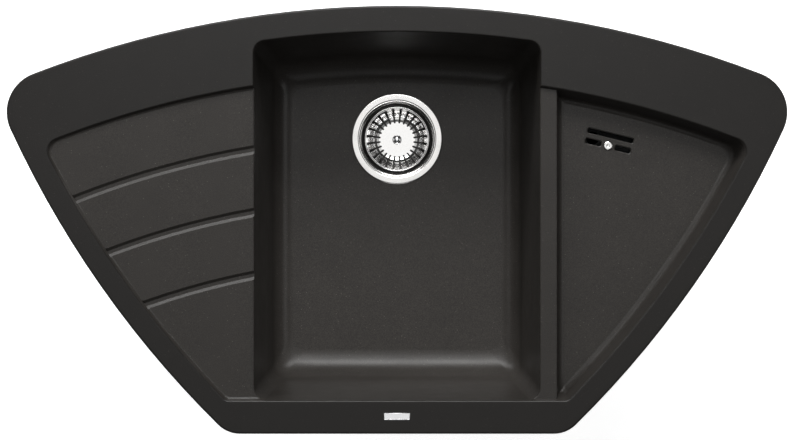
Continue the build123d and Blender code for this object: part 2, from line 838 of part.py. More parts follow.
def basket_strainer():
    """Pressed basket: rolled rim, leaning wall, round corner and a floor with radial slots."""
    rim_drop = basket_seat_drop()
    inner_top = basket_rim_radius - basket_rim_wire - basket_sheet / 2
    outer_corner = basket_corner + basket_sheet
    wall_bottom = basket_drop - basket_corner
    hole = stem_radius + running_clearance / 2

    def corner_arc(radius):
        turns = [quarter_turn * step / basket_corner_steps for step in range(basket_corner_steps + 1)]
        arc = [on_circle((basket_floor_radius, wall_bottom), radius, quarter_turn - turn) for turn in turns]
        return arc

    profile = [(hole, basket_drop)] + corner_arc(basket_corner) + [(inner_top, rim_drop)]
    profile += [(inner_top + basket_sheet, rim_drop)] + corner_arc(outer_corner)[::-1]
    profile.append((hole, basket_drop + basket_sheet))
    basket = turned(profile)
    slot_run = slot_outer_radius - slot_inner_radius
    slot_shape = Pos((slot_inner_radius + slot_outer_radius) / 2, 0) * SlotOverall(slot_run, slot_width)
    slot = extrude(slot_shape, amount=basket_corner + basket_sheet)
    for index in range(slot_count):
        place = waste_place(basket_drop + basket_sheet, turn_of(index, 0.5, slot_count))
        basket = basket - place * slot
    return basket + waste_place(rim_drop) * Torus(basket_rim_radius, basket_rim_wire)


def basket_stem():
    """Pin down the basket's middle, from inside the knob to the bore of the waste screw."""
    top = basket_drop - knob_height / 2
    bottom = hub_drop + stem_below_hub
    return waste_place(bottom) * chamfer(upright(stem_radius, bottom - top).edges(), 0.5)


def basket_knob():
    """Small domed knob on the basket's floor."""
    half = knob_height / 2
    dome_drop = basket_drop - knob_height + knob_dome
    turns = [quarter_turn * step / knob_dome_steps for step in range(knob_dome_steps + 1)]
    bore = stem_radius + running_clearance / 2
    profile = [
        (bore, basket_drop),
        (knob_radius, basket_drop),
        (knob_radius, basket_drop - knob_edge),
        (knob_waist, basket_drop - 2 * knob_edge),
        (knob_waist, basket_drop - half),
        *[(knob_radius * cos(turn), dome_drop - knob_dome * sin(turn)) for turn in turns],
        (0, basket_drop - half),
        (bore, basket_drop - half),
    ]
    return turned(profile)


def basket_seal():
    """Rubber washer under the basket that closes the dish's drain hole."""
    bore = stem_radius + running_clearance / 2
    pocket = nut_radius + 3 * running_clearance
    under = basket_drop + basket_sheet
    profile = [
        (bore, under),
        (seal_radius - seal_step, under),
        (seal_radius, under + seal_step),
        (seal_radius, dish_drop),
        (pocket, dish_drop),
        (pocket, dish_drop - nut_height),
        (bore, dish_drop - nut_height),
    ]
    return turned(profile)


def basket_nut():
    """Nut that holds the seal up against the basket, let into the seal."""
    ring = tube(nut_radius, stem_radius + running_clearance / 2, nut_height)
    return waste_place(dish_drop) * ring


def overflow_gasket():
    """Flat gasket between the tray's underside and the overflow housing."""
    z = tray_under_z - overflow_gasket_thickness
    frame = extrude(housing_plan(0) - housing_plan(housing_wall), amount=overflow_gasket_thickness)
    eye = upright(housing_boss_radius, overflow_gasket_thickness)
    hole = upright(overflow_screw_shank + hole_clearance / 2, overflow_gasket_thickness)
    return overflow_place(z) * (frame + eye - hole)


def housing_plan(inset):
    """Plan of the overflow housing round its slots, drawn in by an inset."""
    half_x = long_slot_length / 2 + housing_margin - inset
    low = -short_slot_width / 2 - housing_margin + inset
    high = long_slot_offset + long_slot_width / 2 + housing_margin - inset
    return Pos(0, (low + high) / 2) * RectangleRounded(2 * half_x, high - low, housing_corner - inset / 2)


def overflow_housing():
    """Moulded box that gathers the overflow's water, with a screw boss and an outlet spigot."""
    top = tray_under_z - overflow_gasket_thickness
    box = Pos(0, 0, -housing_depth) * extrude(housing_plan(0), amount=housing_depth)
    hollow_depth = housing_depth - housing_wall
    box = box - Pos(0, 0, -hollow_depth) * extrude(housing_plan(housing_wall), amount=hollow_depth)
    box = box + Pos(0, 0, -housing_depth) * upright(housing_boss_radius, housing_depth)
    insert = upright(overflow_insert_radius, overflow_insert_length)
    way = upright(overflow_screw_shank + running_clearance, hollow_depth)
    box = box - Pos(0, 0, -overflow_insert_length) * insert - Pos(0, 0, -hollow_depth) * way
    collar = Pos(outlet_local_x, outlet_local_y, -housing_depth - spigot_collar)
    box = box + collar * upright(spigot_shoulder_radius, spigot_collar)
    end = Pos(outlet_local_x, outlet_local_y, -housing_depth - spigot_collar - spigot_length)
    box = box + end * upright(hose_bore / 2, spigot_length)
    box = box - end * upright(hose_bore / 2 - spigot_wall, spigot_length + spigot_collar + housing_wall)
    return overflow_place(top) * box


def overflow_insert():
    """Brass insert in the housing's boss, threaded for the overflow screw."""
    ring = tube(overflow_insert_radius, overflow_screw_shank, overflow_insert_length)
    return overflow_place(tray_under_z - overflow_gasket_thickness - overflow_insert_length) * ring


def overflow_screw():
    """Screw with a domed head and a hexagon socket, down through the tray's floor."""
    dome = overflow_screw_radius
    head_height = overflow_seat_depth + overflow_head_proud
    head = upright(dome, head_height)
    head = fillet(head.edges().group_by(Axis.Z)[-1], overflow_head_proud)
    hexagon = RegularPolygon(overflow_socket_radius, 6)
    socket = Pos(0, 0, head_height - overflow_seat_depth) * extrude(hexagon, amount=head_height)
    point = Cone(0, overflow_socket_radius * cos(radians(30.0)), overflow_socket_point)
    socket = socket + Pos(0, 0, head_height - overflow_seat_depth - overflow_socket_point / 2) * point
    shank = Pos(0, 0, -overflow_screw_length) * upright(overflow_screw_shank, overflow_screw_length)
    return overflow_place(overflow_seat_z) * (head + shank - socket)


def hose_path_length():
    """Length of the hose's middle line: level run, bend and upright run."""
    level, rise = hose_runs()
    return level + rise + quarter_turn * hose_bend_radius


def hose_runs():
    """Lengths of the level run and of the upright run."""
    level = hypot(outlet_x, outlet_y - waste_y) - port_collar - hose_bend_radius
    rise = outlet_end_z - port_z - hose_bend_radius
    return level, rise


def hose_section(along):
    """Plane square to the hose's middle line, at a length from the waste body."""
    plane = hose_line()
    level, _ = hose_runs()
    turn = min(max((along - level) / hose_bend_radius, 0.0), quarter_turn)
    over = max(along - level - quarter_turn * hose_bend_radius, 0.0)
    reach = port_collar + min(along, level) + hose_bend_radius * sin(turn)
    height = hose_bend_radius * (1 - cos(turn)) + over
    origin = plane.origin + plane.x_dir * reach + Vector(0, 0, height)
    heading = plane.x_dir * cos(turn) + Vector(0, 0, sin(turn))
    return Plane(origin=origin, x_dir=plane.z_dir, z_dir=heading)


def overflow_hose():
    """Ribbed hose with plain cuffs, from the waste body's port up to the overflow housing."""
    full = hose_path_length()
    cuff = 2 * hose_crest_radius
    count = int((full - 2 * cuff) / hose_rib_pitch)
    pitch = (full - 2 * cuff) / count
    crest, root = hose_crest_radius, hose_root_radius
    rings = [(0.0, crest), (cuff, crest)]
    rib = ((0.15, root), (0.4, root), (0.6, crest), (0.95, crest))
    for index in range(count):
        rings += [(cuff + (index + part) * pitch, radius) for part, radius in rib]
    rings.append((full, crest))
    skin = loft([hose_section(along) * Circle(radius) for along, radius in rings], ruled=True)
    return skin - sweep(hose_section(0.0) * Circle(hose_bore / 2), path=hose_middle())


def hose_middle():
    """The hose's middle line: level run, quarter bend and upright run."""
    level, rise = hose_runs()
    full = hose_path_length()
    start, bend, halfway, upturn, end = [
        hose_section(along).origin for along in (0.0, level, (level + full - rise) / 2, full - rise, full)
    ]
    runs = [Line(start, bend), ThreePointArc(bend, halfway, upturn), Line(upturn, end)]
    return Wire([run.edge() for run in runs])


def hose_clip(along):
    """Worm-drive band round one of the hose's cuffs: band, housing and screw."""
    outer = hose_crest_radius + clip_band_thickness
    band = Pos(0, 0, -clip_band_width / 2) * tube(outer, hose_crest_radius, clip_band_width)
    out = outer + clip_lug_height / 3
    in_band = Cylinder(hose_crest_radius + clip_band_thickness / 2, 2 * clip_band_width)
    lug = Pos(out, 0, 0) * Box(clip_lug_height, clip_lug_length, clip_band_width) - in_band
    screw = Pos(out, clip_lug_length / 2, 0) * Rot(-90, 0, 0) * upright(clip_screw_radius, clip_screw_length)
    return hose_section(along) * (band + lug + screw)


def clamps(shape, z):
    """The same piece at each of the clamps."""
    return Compound([clamp_place(place, z) * shape for place in clamp_places()])


def clip_anchors():
    """Moulded anchors under the deck, each with a peg, a screw's hole and a slot for the nut."""
    block = Box(anchor_along, anchor_across, anchor_height, align=(Align.CENTER, Align.CENTER, Align.MAX))
    block = fillet(block.edges().filter_by(Axis.Z), anchor_corner)
    block = block + upright(anchor_peg_radius, anchor_peg_length)
    around_nut = (clamp_nut_size, 2 * anchor_across, clamp_nut_height)
    slot = Pos(0, 0, clamp_nut_z - deck_z) * Box(*[size + 2 * running_clearance for size in around_nut])
    shank = clamp_screw_radius + running_clearance
    hole = Pos(0, 0, -anchor_height) * upright(shank, anchor_height - hole_clearance)
    return clamps(block - slot - hole, deck_z)


def clip_nuts():
    """Square nuts held in the anchors."""
    blank = Box(clamp_nut_size, clamp_nut_size, clamp_nut_height)
    return clamps(blank - Cylinder(clamp_screw_radius, clamp_nut_height), clamp_nut_z)


def clip_screws():
    """Screws that hang from the anchors and carry the arms on their heads."""
    head = Pos(0, 0, -clamp_head_height) * upright(clamp_head_radius, clamp_head_height)
    head = chamfer(head.edges().group_by(Axis.Z)[0], clamp_head_chamfer)
    drive = Box(2 * clamp_head_radius, clamp_drive_width, 2 * clamp_drive_depth)
    shank = upright(clamp_screw_radius, clamp_screw_length)
    return clamps(head - Pos(0, 0, -clamp_head_height) * drive + shank, arm_under_z)


def clamp_arm(place):
    """Steel arm with an upturned claw, parked along the sink's edge."""
    tail = arm_width / 2
    plan = Pos((arm_length - tail) / 2, 0) * RectangleRounded(arm_length + tail, arm_width, arm_corner)
    arm = extrude(plan, amount=arm_sheet)
    claw_size = (arm_sheet, claw_width, arm_sheet + claw_height)
    claw = Pos(arm_length - arm_sheet) * Box(*claw_size, align=(Align.MIN, Align.CENTER, Align.MIN))
    hole = upright(clamp_screw_radius + running_clearance, arm_sheet)
    return clamp_place(place, arm_under_z) * (arm + claw - hole)


parts = {
    "sink_body": sink_body(),
    "rim_seal": rim_seal(),
    "badge_plate": badge_plate(),
    "waste_flange": waste_flange(),
    "flange_gasket": flange_gasket(),
    "under_gasket": under_gasket(),
    "waste_body": waste_body(),
    "outlet_tube": outlet_tube(),
    "waste_insert": waste_insert(),
    "waste_screw": waste_screw(),
    "basket_strainer": basket_strainer(),
    "basket_stem": basket_stem(),
    "basket_knob": basket_knob(),
    "basket_seal": basket_seal(),
    "basket_nut": basket_nut(),
    "overflow_gasket": overflow_gasket(),
    "overflow_housing": overflow_housing(),
    "overflow_insert": overflow_insert(),
    "overflow_screw": overflow_screw(),
    "overflow_hose": overflow_hose(),
    "hose_clip_lower": hose_clip(hose_crest_radius),
    "hose_clip_upper": hose_clip(hose_path_length() - hose_crest_radius),
    "clip_anchors": clip_anchors(),
    "clip_nuts": clip_nuts(),
    "clip_screws": clip_screws(),
}
for number, place in enumerate(clamp_places(), 1):
    parts[f"clamp_arm_{number}"] = clamp_arm(place)

os.makedirs("parts", exist_ok=True)
for name, shape in parts.items():
    export_step(shape, f"parts/{name}.step")
print("hose length", round(hose_path_length(), 1), "mm")
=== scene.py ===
"""Looks of a corner kitchen sink: granite composite casting, stainless waste, moulded plumbing, clamps.

Metres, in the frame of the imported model: +X to the right, +Y to the back, +Z up, with z = 0 on the
ring that bears on the worktop.
"""

import bmesh
import bpy
import json
import math
from mathutils import Matrix, Vector


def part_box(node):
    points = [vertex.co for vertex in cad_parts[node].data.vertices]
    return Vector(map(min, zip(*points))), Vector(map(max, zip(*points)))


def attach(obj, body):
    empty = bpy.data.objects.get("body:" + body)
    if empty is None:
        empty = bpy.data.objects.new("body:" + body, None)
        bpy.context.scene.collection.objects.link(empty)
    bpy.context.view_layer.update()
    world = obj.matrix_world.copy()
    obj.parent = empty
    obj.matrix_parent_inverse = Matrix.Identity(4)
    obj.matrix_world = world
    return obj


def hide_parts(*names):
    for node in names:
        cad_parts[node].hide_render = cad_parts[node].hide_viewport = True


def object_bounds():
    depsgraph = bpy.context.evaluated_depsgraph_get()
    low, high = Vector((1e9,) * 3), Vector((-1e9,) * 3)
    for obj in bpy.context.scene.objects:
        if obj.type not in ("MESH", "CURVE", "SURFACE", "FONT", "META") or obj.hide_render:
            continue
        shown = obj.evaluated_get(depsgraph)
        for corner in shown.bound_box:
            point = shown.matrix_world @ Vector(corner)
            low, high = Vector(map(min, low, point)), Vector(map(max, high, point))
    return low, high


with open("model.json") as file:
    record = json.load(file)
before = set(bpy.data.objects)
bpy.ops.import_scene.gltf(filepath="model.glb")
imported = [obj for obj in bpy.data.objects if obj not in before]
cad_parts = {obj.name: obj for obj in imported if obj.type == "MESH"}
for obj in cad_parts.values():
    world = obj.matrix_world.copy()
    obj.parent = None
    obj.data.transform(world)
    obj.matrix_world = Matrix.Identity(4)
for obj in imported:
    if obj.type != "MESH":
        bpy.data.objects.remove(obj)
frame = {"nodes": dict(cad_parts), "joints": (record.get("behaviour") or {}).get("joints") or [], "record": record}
cad_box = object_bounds()

bl_info = {
    "name": "Corner Sink Finishes",
    "version": (1, 0, 0),
    "blender": (4, 5, 0),
    "location": "View3D > Sidebar > Sink",
    "description": "Finishes a packed corner sink, and models its waste dish, knob, badge and threads",
    "category": "Object",
}

MM = 0.001
BODY = "sink"
CLAMP_JOINTS = [joint for joint in frame["joints"] if joint["name"].startswith("clamp_")]

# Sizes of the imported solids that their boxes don't give. The inset of a clip's screw runs from the edge
# of the clip's box to the middle of the screw's head.
FLANGE_RISE = 0.6 * MM
BODY_FLANGE = 4.0 * MM
CHAMBER_RADIUS = 51.0 * MM
BODY_RADIUS = 58.0 * MM
CLAMP_SCREW_RADIUS = 2.5 * MM
ARM_SHEET = 2.0 * MM
CLIP_SCREW_RADIUS = 3.2 * MM
CLIP_SCREW_INSET = 2.7 * MM

# Places that the boxes give.
FLANGE_LOW, FLANGE_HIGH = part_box("waste_flange")
WASTE_AXIS = (FLANGE_LOW + FLANGE_HIGH) / 2
BOWL_FLOOR = FLANGE_HIGH.z - FLANGE_RISE
RIM_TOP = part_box("sink_body")[1].z


def hex_colour(value):
    """Linear colour of an sRGB hex value such as "3A3836"."""
    channels = [int(value[at:at + 2], 16) / 255 for at in (0, 2, 4)]
    linear = [c / 12.92 if c <= 0.04045 else ((c + 0.055) / 1.055) ** 2.4 for c in channels]
    return (*linear, 1.0)


# ---------------------------------------------------------------- settings


class CastingSettings(bpy.types.PropertyGroup):
    resin: bpy.props.FloatVectorProperty(
        name="Resin", description="Colour of the composite between its grains",
        subtype="COLOR", size=4, min=0, max=1, default=hex_colour("2A2826"))
    grain: bpy.props.FloatVectorProperty(
        name="Grain", description="Colour of the lighter mineral grains",
        subtype="COLOR", size=4, min=0, max=1, default=hex_colour("3B3835"))
    grain_size: bpy.props.FloatProperty(
        name="Grain size", description="Width of a mineral grain",
        subtype="DISTANCE", unit="LENGTH", default=0.8 * MM)
    roughness: bpy.props.FloatProperty(
        name="Roughness", description="Roughness of the moulded surface", min=0, max=1, default=0.34)
    # Painted shade: the rim's colour is painted this much darker than the sunk top's.
    rim_painted_shade: bpy.props.FloatProperty(
        name="Rim shade", description="Brightness of the polished rim against the sunk top",
        min=0, default=0.42)
    # Painted light: the bowl's colour is painted this much lighter towards its floor.
    bowl_painted_light: bpy.props.FloatProperty(
        name="Bowl shade", description="Brightness of the coarser bowl against the sunk top",
        min=0, default=1.5)


class WasteSettings(bpy.types.PropertyGroup):
    flange_crown: bpy.props.FloatProperty(
        name="Flange crown", description="Height of the flange's middle over its edges",
        subtype="DISTANCE", unit="LENGTH", default=0.25 * MM)
    spokes: bpy.props.IntProperty(
        name="Spokes", description="Spokes between the dish and the screw's hub", min=2, default=3)
    rib_count: bpy.props.IntProperty(
        name="Ribs", description="Stiffening ribs under the waste body's flange", min=3, default=12)
    rib_width: bpy.props.FloatProperty(
        name="Rib width", description="Width of a stiffening rib",
        subtype="DISTANCE", unit="LENGTH", default=2.2 * MM)
    rib_drop: bpy.props.FloatProperty(
        name="Rib drop", description="How far a rib runs down the chamber",
        subtype="DISTANCE", unit="LENGTH", default=16 * MM)


class ThreadSettings(bpy.types.PropertyGroup):
    outlet_pitch: bpy.props.FloatProperty(
        name="Outlet pitch", description="Rise of the outlet's thread in one turn",
        subtype="DISTANCE", unit="LENGTH", default=2.31 * MM)
    outlet_ridge: bpy.props.FloatProperty(
        name="Outlet ridge", description="Height of the outlet's thread",
        subtype="DISTANCE", unit="LENGTH", default=1.4 * MM)
    screw_pitch: bpy.props.FloatProperty(
        name="Screw pitch", description="Rise of a clamp screw's thread in one turn",
        subtype="DISTANCE", unit="LENGTH", default=0.8 * MM)
    screw_ridge: bpy.props.FloatProperty(
        name="Screw ridge", description="Height of a clamp screw's thread",
        subtype="DISTANCE", unit="LENGTH", default=0.2 * MM)


class BadgeSettings(bpy.types.PropertyGroup):
    gap: bpy.props.FloatProperty(
        name="Gap", description="Space between the plate and the sides of its pocket",
        subtype="DISTANCE", unit="LENGTH", default=0.3 * MM)
    edge: bpy.props.FloatProperty(
        name="Edge", description="Width of the bevel round the bare plate",
        subtype="DISTANCE", unit="LENGTH", default=0.25 * MM)
    frame_width: bpy.props.FloatProperty(
        name="Frame", description="Width of the raised frame round the bare plate",
        subtype="DISTANCE", unit="LENGTH", default=0.7 * MM)
    frame_rise: bpy.props.FloatProperty(
        name="Frame rise", description="Height of the raised frame over the plate's field",
        subtype="DISTANCE", unit="LENGTH", default=0.12 * MM)


class StageSettings(bpy.types.PropertyGroup):
    floor_gap: bpy.props.FloatProperty(
        name="Floor gap", description="Space between the lowest piece and the floor",
        subtype="DISTANCE", unit="LENGTH", default=4 * MM)
    camera_height: bpy.props.FloatProperty(
        name="Camera height", description="Height of the camera over the rim",
        subtype="DISTANCE", unit="LENGTH", default=3.3)
    view_width: bpy.props.FloatProperty(
        name="View width", description="Width of the view at the rim",
        subtype="DISTANCE", unit="LENGTH", default=0.9449)
    view_middle: bpy.props.FloatProperty(
        name="View middle", description="How far behind the front edge's line the camera stands",
        subtype="DISTANCE", unit="LENGTH", default=0.2522)
    key_power: bpy.props.FloatProperty(
        name="Key power", description="Power of the lamp behind the sink, which two more take shares of",
        subtype="POWER", unit="POWER", default=112)
    fill_power: bpy.props.FloatProperty(
        name="Fill power", description="Power of the lamp at the right, which two more take shares of",
        subtype="POWER", unit="POWER", default=14)
    ambient: bpy.props.FloatProperty(
        name="Ambient", description="Strength of the room's light on matt surfaces", min=0, default=0.03)


# ---------------------------------------------------------------- materials

# Inputs of a Mix node: its factor, its two numbers and its two colours.
FACTOR, NUMBER_A, NUMBER_B, COLOUR_A, COLOUR_B = 0, 2, 3, 6, 7
# Most of a noise texture's values lie in this span.
NOISE_SPAN = {"From Min": 0.3, "From Max": 0.7}


def add_node(tree, kind, inputs, **settings):
    """Adds a node with its settings. Inputs take values, sockets, or nodes for their first output."""
    node = tree.nodes.new("ShaderNode" + kind)
    for name, value in settings.items():
        setattr(node, name, value)
    connect(tree, node, inputs)
    return node


def connect(tree, node, inputs):
    """Sets a node's inputs to values, or links them to sockets or to nodes' first outputs."""
    for key, value in inputs.items():
        if isinstance(value, bpy.types.Node):
            value = next(socket for socket in value.outputs if socket.enabled)
        if isinstance(value, bpy.types.NodeSocket):
            tree.links.new(value, node.inputs[key])
        else:
            node.inputs[key].default_value = value


def new_material(name):
    """A new material, its node tree and its shader."""
    material = bpy.data.materials.new(name)
    material.use_nodes = True
    return material, material.node_tree, material.node_tree.nodes["Principled BSDF"]


def finish_nodes(material, *nodes):
    """Gives CAD nodes one material in all their slots."""
    for node in nodes:
        for slot in frame["nodes"][node].material_slots:
            slot.material = material


def granite_composite(settings):
    """Quartz sand in black acrylic resin, cast in a mould.

    Close to, it is a fine salt of warm grey grains in near black, with a few pale glints and a
    satin skin; from a step away it is one warm black. Its colour is painted darker over the rim,
    as painted shade, and lighter down the bowl, as painted light. The grains are
    really about 0.4 mm, and drawn twice that size to show at all.
    """
    material, tree, shader = new_material("granite_composite")
    point = add_node(tree, "TexCoord", {}).outputs["Object"]
    height = add_node(tree, "SeparateXYZ", {0: point}).outputs[2]
    grains = add_node(tree, "TexNoise", {
        "Vector": point, "Scale": 1 / settings.grain_size, "Detail": 1.5, "Roughness": 0.6})
    share = add_node(tree, "MapRange", {"Value": grains, "From Min": 0.4, "From Max": 0.64})
    body = add_node(tree, "Mix", data_type="RGBA", inputs={
        FACTOR: share, COLOUR_A: tuple(settings.resin), COLOUR_B: tuple(settings.grain)})
    cells = add_node(tree, "TexVoronoi", {"Vector": point, "Scale": 1 / (2.5 * settings.grain_size)})
    lottery = add_node(tree, "SeparateColor", {0: cells.outputs["Color"]})
    winners = add_node(tree, "MapRange", {"Value": lottery, "From Min": 0.95, "From Max": 0.96})
    near = add_node(tree, "MapRange", {
        "Value": cells, "From Min": 0.16, "From Max": 0.3, "To Min": 0.32, "To Max": 0.0})
    glint = add_node(tree, "Math", {0: winners, 1: near}, operation="MULTIPLY")
    specked = add_node(tree, "Mix", data_type="RGBA", inputs={
        FACTOR: glint, COLOUR_A: body, COLOUR_B: hex_colour("8A857E")})
    # Painted shade: the top of the rim is painted darker.
    rim = add_node(tree, "MapRange", {
        "Value": height, "From Min": RIM_TOP - 1.6 * MM, "From Max": RIM_TOP - 0.3 * MM,
        "To Min": 1.0, "To Max": settings.rim_painted_shade})
    # Painted light: the bowl is painted lighter from 40 mm down to its floor.
    bowl = add_node(tree, "MapRange", {
        "Value": height, "From Min": RIM_TOP - 40 * MM, "From Max": BOWL_FLOOR + 10 * MM,
        "To Min": 1.0, "To Max": settings.bowl_painted_light})
    clouds = add_node(tree, "TexNoise", {
        "Vector": point, "Scale": 1 / (45 * MM), "Detail": 3.0, "Roughness": 0.6})
    cloudy = add_node(tree, "MapRange", {"Value": clouds, **NOISE_SPAN, "To Min": 0.93, "To Max": 1.07})
    painted_shade_and_light = add_node(tree, "Math", {0: rim, 1: bowl}, operation="MULTIPLY")
    shade = add_node(tree, "Math", {0: painted_shade_and_light, 1: cloudy}, operation="MULTIPLY")
    colour = add_node(tree, "HueSaturation", {"Color": specked, "Value": shade})
    satin = add_node(tree, "MapRange", {
        "Value": clouds, **NOISE_SPAN,
        "To Min": settings.roughness - 0.03, "To Max": settings.roughness + 0.04})
    skin = add_node(tree, "TexNoise", {"Vector": point, "Scale": 1 / (1.6 * MM), "Detail": 2.0})
    texture = add_node(tree, "Math", {0: grains, 1: skin}, operation="ADD")
    bump = add_node(tree, "Bump", {"Height": texture, "Distance": 0.05 * MM, "Strength": 0.45})
    connect(tree, shader, {
        "Base Color": colour, "Roughness": satin, "Specular IOR Level": 0.28, "Normal": bump})
    return material


def polished_stainless():
    """Deep-drawn 18/10 stainless steel.

    The flange is polished and mirrors what is above it, softened by faint rings of polishing
    0.7 mm apart round its axis. From its seat down the dish is rougher, and its colour is painted
    dark grey there as painted shade.
    """
    material, tree, shader = new_material("polished_stainless")
    source = add_node(tree, "TexCoord", {}).outputs["Object"]
    point = add_node(tree, "Mapping", {"Vector": source, "Location": (-WASTE_AXIS.x, -WASTE_AXIS.y, 0.0)})
    axes = add_node(tree, "SeparateXYZ", {0: point})
    flat = add_node(tree, "CombineXYZ", {0: axes.outputs[0], 1: axes.outputs[1]})
    radius = add_node(tree, "VectorMath", {0: flat}, operation="LENGTH").outputs["Value"]
    ring = add_node(tree, "CombineXYZ", {0: radius, 1: axes.outputs[2]})
    rings = add_node(tree, "TexNoise", {
        "Vector": ring, "Scale": 1 / (0.7 * MM), "Detail": 2.0, "Roughness": 0.7})
    smears = add_node(tree, "TexNoise", {"Vector": point, "Scale": 1 / (16 * MM), "Detail": 3.0})
    # Painted shade: from the seat down, the dish's colour goes to dark grey, standing in for the shade inside the
    # dish.
    depth = add_node(tree, "MapRange", {
        "Value": axes.outputs[2], "From Min": BOWL_FLOOR - 0.6 * MM, "From Max": BOWL_FLOOR - 3 * MM})
    bright = add_node(tree, "Mix", data_type="RGBA", inputs={
        FACTOR: smears, COLOUR_A: hex_colour("F1EFEC"), COLOUR_B: hex_colour("E2E1DF")})
    colour = add_node(tree, "Mix", data_type="RGBA", inputs={
        FACTOR: depth, COLOUR_A: bright, COLOUR_B: hex_colour("3E3D3C")})
    polish = add_node(tree, "MapRange", {"Value": smears, **NOISE_SPAN, "To Min": 0.1, "To Max": 0.16})
    dull = add_node(tree, "Math", {0: depth, 1: 0.17, 2: polish}, operation="MULTIPLY_ADD")
    bump = add_node(tree, "Bump", {"Height": rings, "Distance": 0.01 * MM, "Strength": 0.35})
    connect(tree, shader, {"Base Color": colour, "Metallic": 1.0, "Roughness": dull, "Normal": bump})
    return material


def electropolished_steel():
    """Electropolished stainless basket: near mirror, with the orange peel of drawn sheet 3 mm across."""
    material, tree, shader = new_material("electropolished_steel")
    point = add_node(tree, "TexCoord", {}).outputs["Object"]
    peel = add_node(tree, "TexNoise", {"Vector": point, "Scale": 1 / (3 * MM), "Detail": 2.0})
    colour = add_node(tree, "Mix", data_type="RGBA", inputs={
        FACTOR: peel, COLOUR_A: hex_colour("EFEEEC"), COLOUR_B: hex_colour("F8F7F6")})
    polish = add_node(tree, "MapRange", {"Value": peel, **NOISE_SPAN, "To Min": 0.06, "To Max": 0.12})
    bump = add_node(tree, "Bump", {"Height": peel, "Distance": 0.03 * MM, "Strength": 0.3})
    connect(tree, shader, {"Base Color": colour, "Metallic": 1.0, "Roughness": polish, "Normal": bump})
    return material


def turned_stainless():
    """Stainless bar turned on a lathe: bright, with tool marks really 0.1 mm apart, drawn at 0.5 mm."""
    material, tree, shader = new_material("turned_stainless")
    source = add_node(tree, "TexCoord", {}).outputs["Object"]
    point = add_node(tree, "Mapping", {"Vector": source, "Scale": (0.3, 0.3, 2.0)})
    marks = add_node(tree, "TexNoise", {"Vector": point, "Scale": 1 / (1.0 * MM), "Detail": 2.0})
    colour = add_node(tree, "Mix", data_type="RGBA", inputs={
        FACTOR: marks, COLOUR_A: hex_colour("E2E1DF"), COLOUR_B: hex_colour("F2F1EF")})
    polish = add_node(tree, "MapRange", {"Value": marks, **NOISE_SPAN, "To Min": 0.14, "To Max": 0.24})
    bump = add_node(tree, "Bump", {"Height": marks, "Distance": 0.01 * MM, "Strength": 0.3})
    connect(tree, shader, {"Base Color": colour, "Metallic": 1.0, "Roughness": polish, "Normal": bump})
    return material


def bright_chrome():
    """Chromium over nickel on brass: a cool, near perfect mirror with faint finger marks 4 mm across."""
    material, tree, shader = new_material("bright_chrome")
    point = add_node(tree, "TexCoord", {}).outputs["Object"]
    marks = add_node(tree, "TexNoise", {"Vector": point, "Scale": 1 / (4 * MM), "Detail": 3.0})
    colour = add_node(tree, "Mix", data_type="RGBA", inputs={
        FACTOR: marks, COLOUR_A: hex_colour("F1F2F4"), COLOUR_B: hex_colour("F9F9FA")})
    polish = add_node(tree, "MapRange", {
        "Value": marks, "From Min": 0.35, "From Max": 0.7, "To Min": 0.03, "To Max": 0.08})
    connect(tree, shader, {"Base Color": colour, "Metallic": 1.0, "Roughness": polish})
    return material


def brushed_aluminium():
    """Clear anodised aluminium, brushed lengthwise: pale, with streaks of 0.1 mm drawn at 0.35 mm."""
    material, tree, shader = new_material("brushed_aluminium")
    source = add_node(tree, "TexCoord", {}).outputs["Object"]
    point = add_node(tree, "Mapping", {"Vector": source, "Scale": (0.04, 1.0, 1.0)})
    streaks = add_node(tree, "TexNoise", {
        "Vector": point, "Scale": 1 / (0.35 * MM), "Detail": 3.0, "Roughness": 0.7})
    colour = add_node(tree, "Mix", data_type="RGBA", inputs={
        FACTOR: streaks, COLOUR_A: hex_colour("DEDEE0"), COLOUR_B: hex_colour("F8F8F8")})
    polish = add_node(tree, "MapRange", {"Value": streaks, **NOISE_SPAN, "To Min": 0.14, "To Max": 0.24})
    bump = add_node(tree, "Bump", {"Height": streaks, "Distance": 0.01 * MM, "Strength": 0.2})
    connect(tree, shader, {"Base Color": colour, "Metallic": 1.0, "Roughness": polish, "Normal": bump})
    return material


def epdm_rubber():
    """Black EPDM rubber, die-cut or moulded: dead matt, with a bloom that greys it in patches 7 mm across."""
    material, tree, shader = new_material("epdm_rubber")
    point = add_node(tree, "TexCoord", {}).outputs["Object"]
    bloom = add_node(tree, "TexNoise", {"Vector": point, "Scale": 1 / (7 * MM), "Detail": 3.0})
    pores = add_node(tree, "TexNoise", {"Vector": point, "Scale": 1 / (0.5 * MM), "Detail": 2.0})
    colour = add_node(tree, "Mix", data_type="RGBA", inputs={
        FACTOR: bloom, COLOUR_A: hex_colour("161616"), COLOUR_B: hex_colour("262626")})
    matt = add_node(tree, "MapRange", {"Value": bloom, **NOISE_SPAN, "To Min": 0.62, "To Max": 0.8})
    bump = add_node(tree, "Bump", {"Height": pores, "Distance": 0.05 * MM, "Strength": 0.4})
    connect(tree, shader, {
        "Base Color": colour, "Roughness": matt, "Specular IOR Level": 0.35, "Normal": bump})
    return material


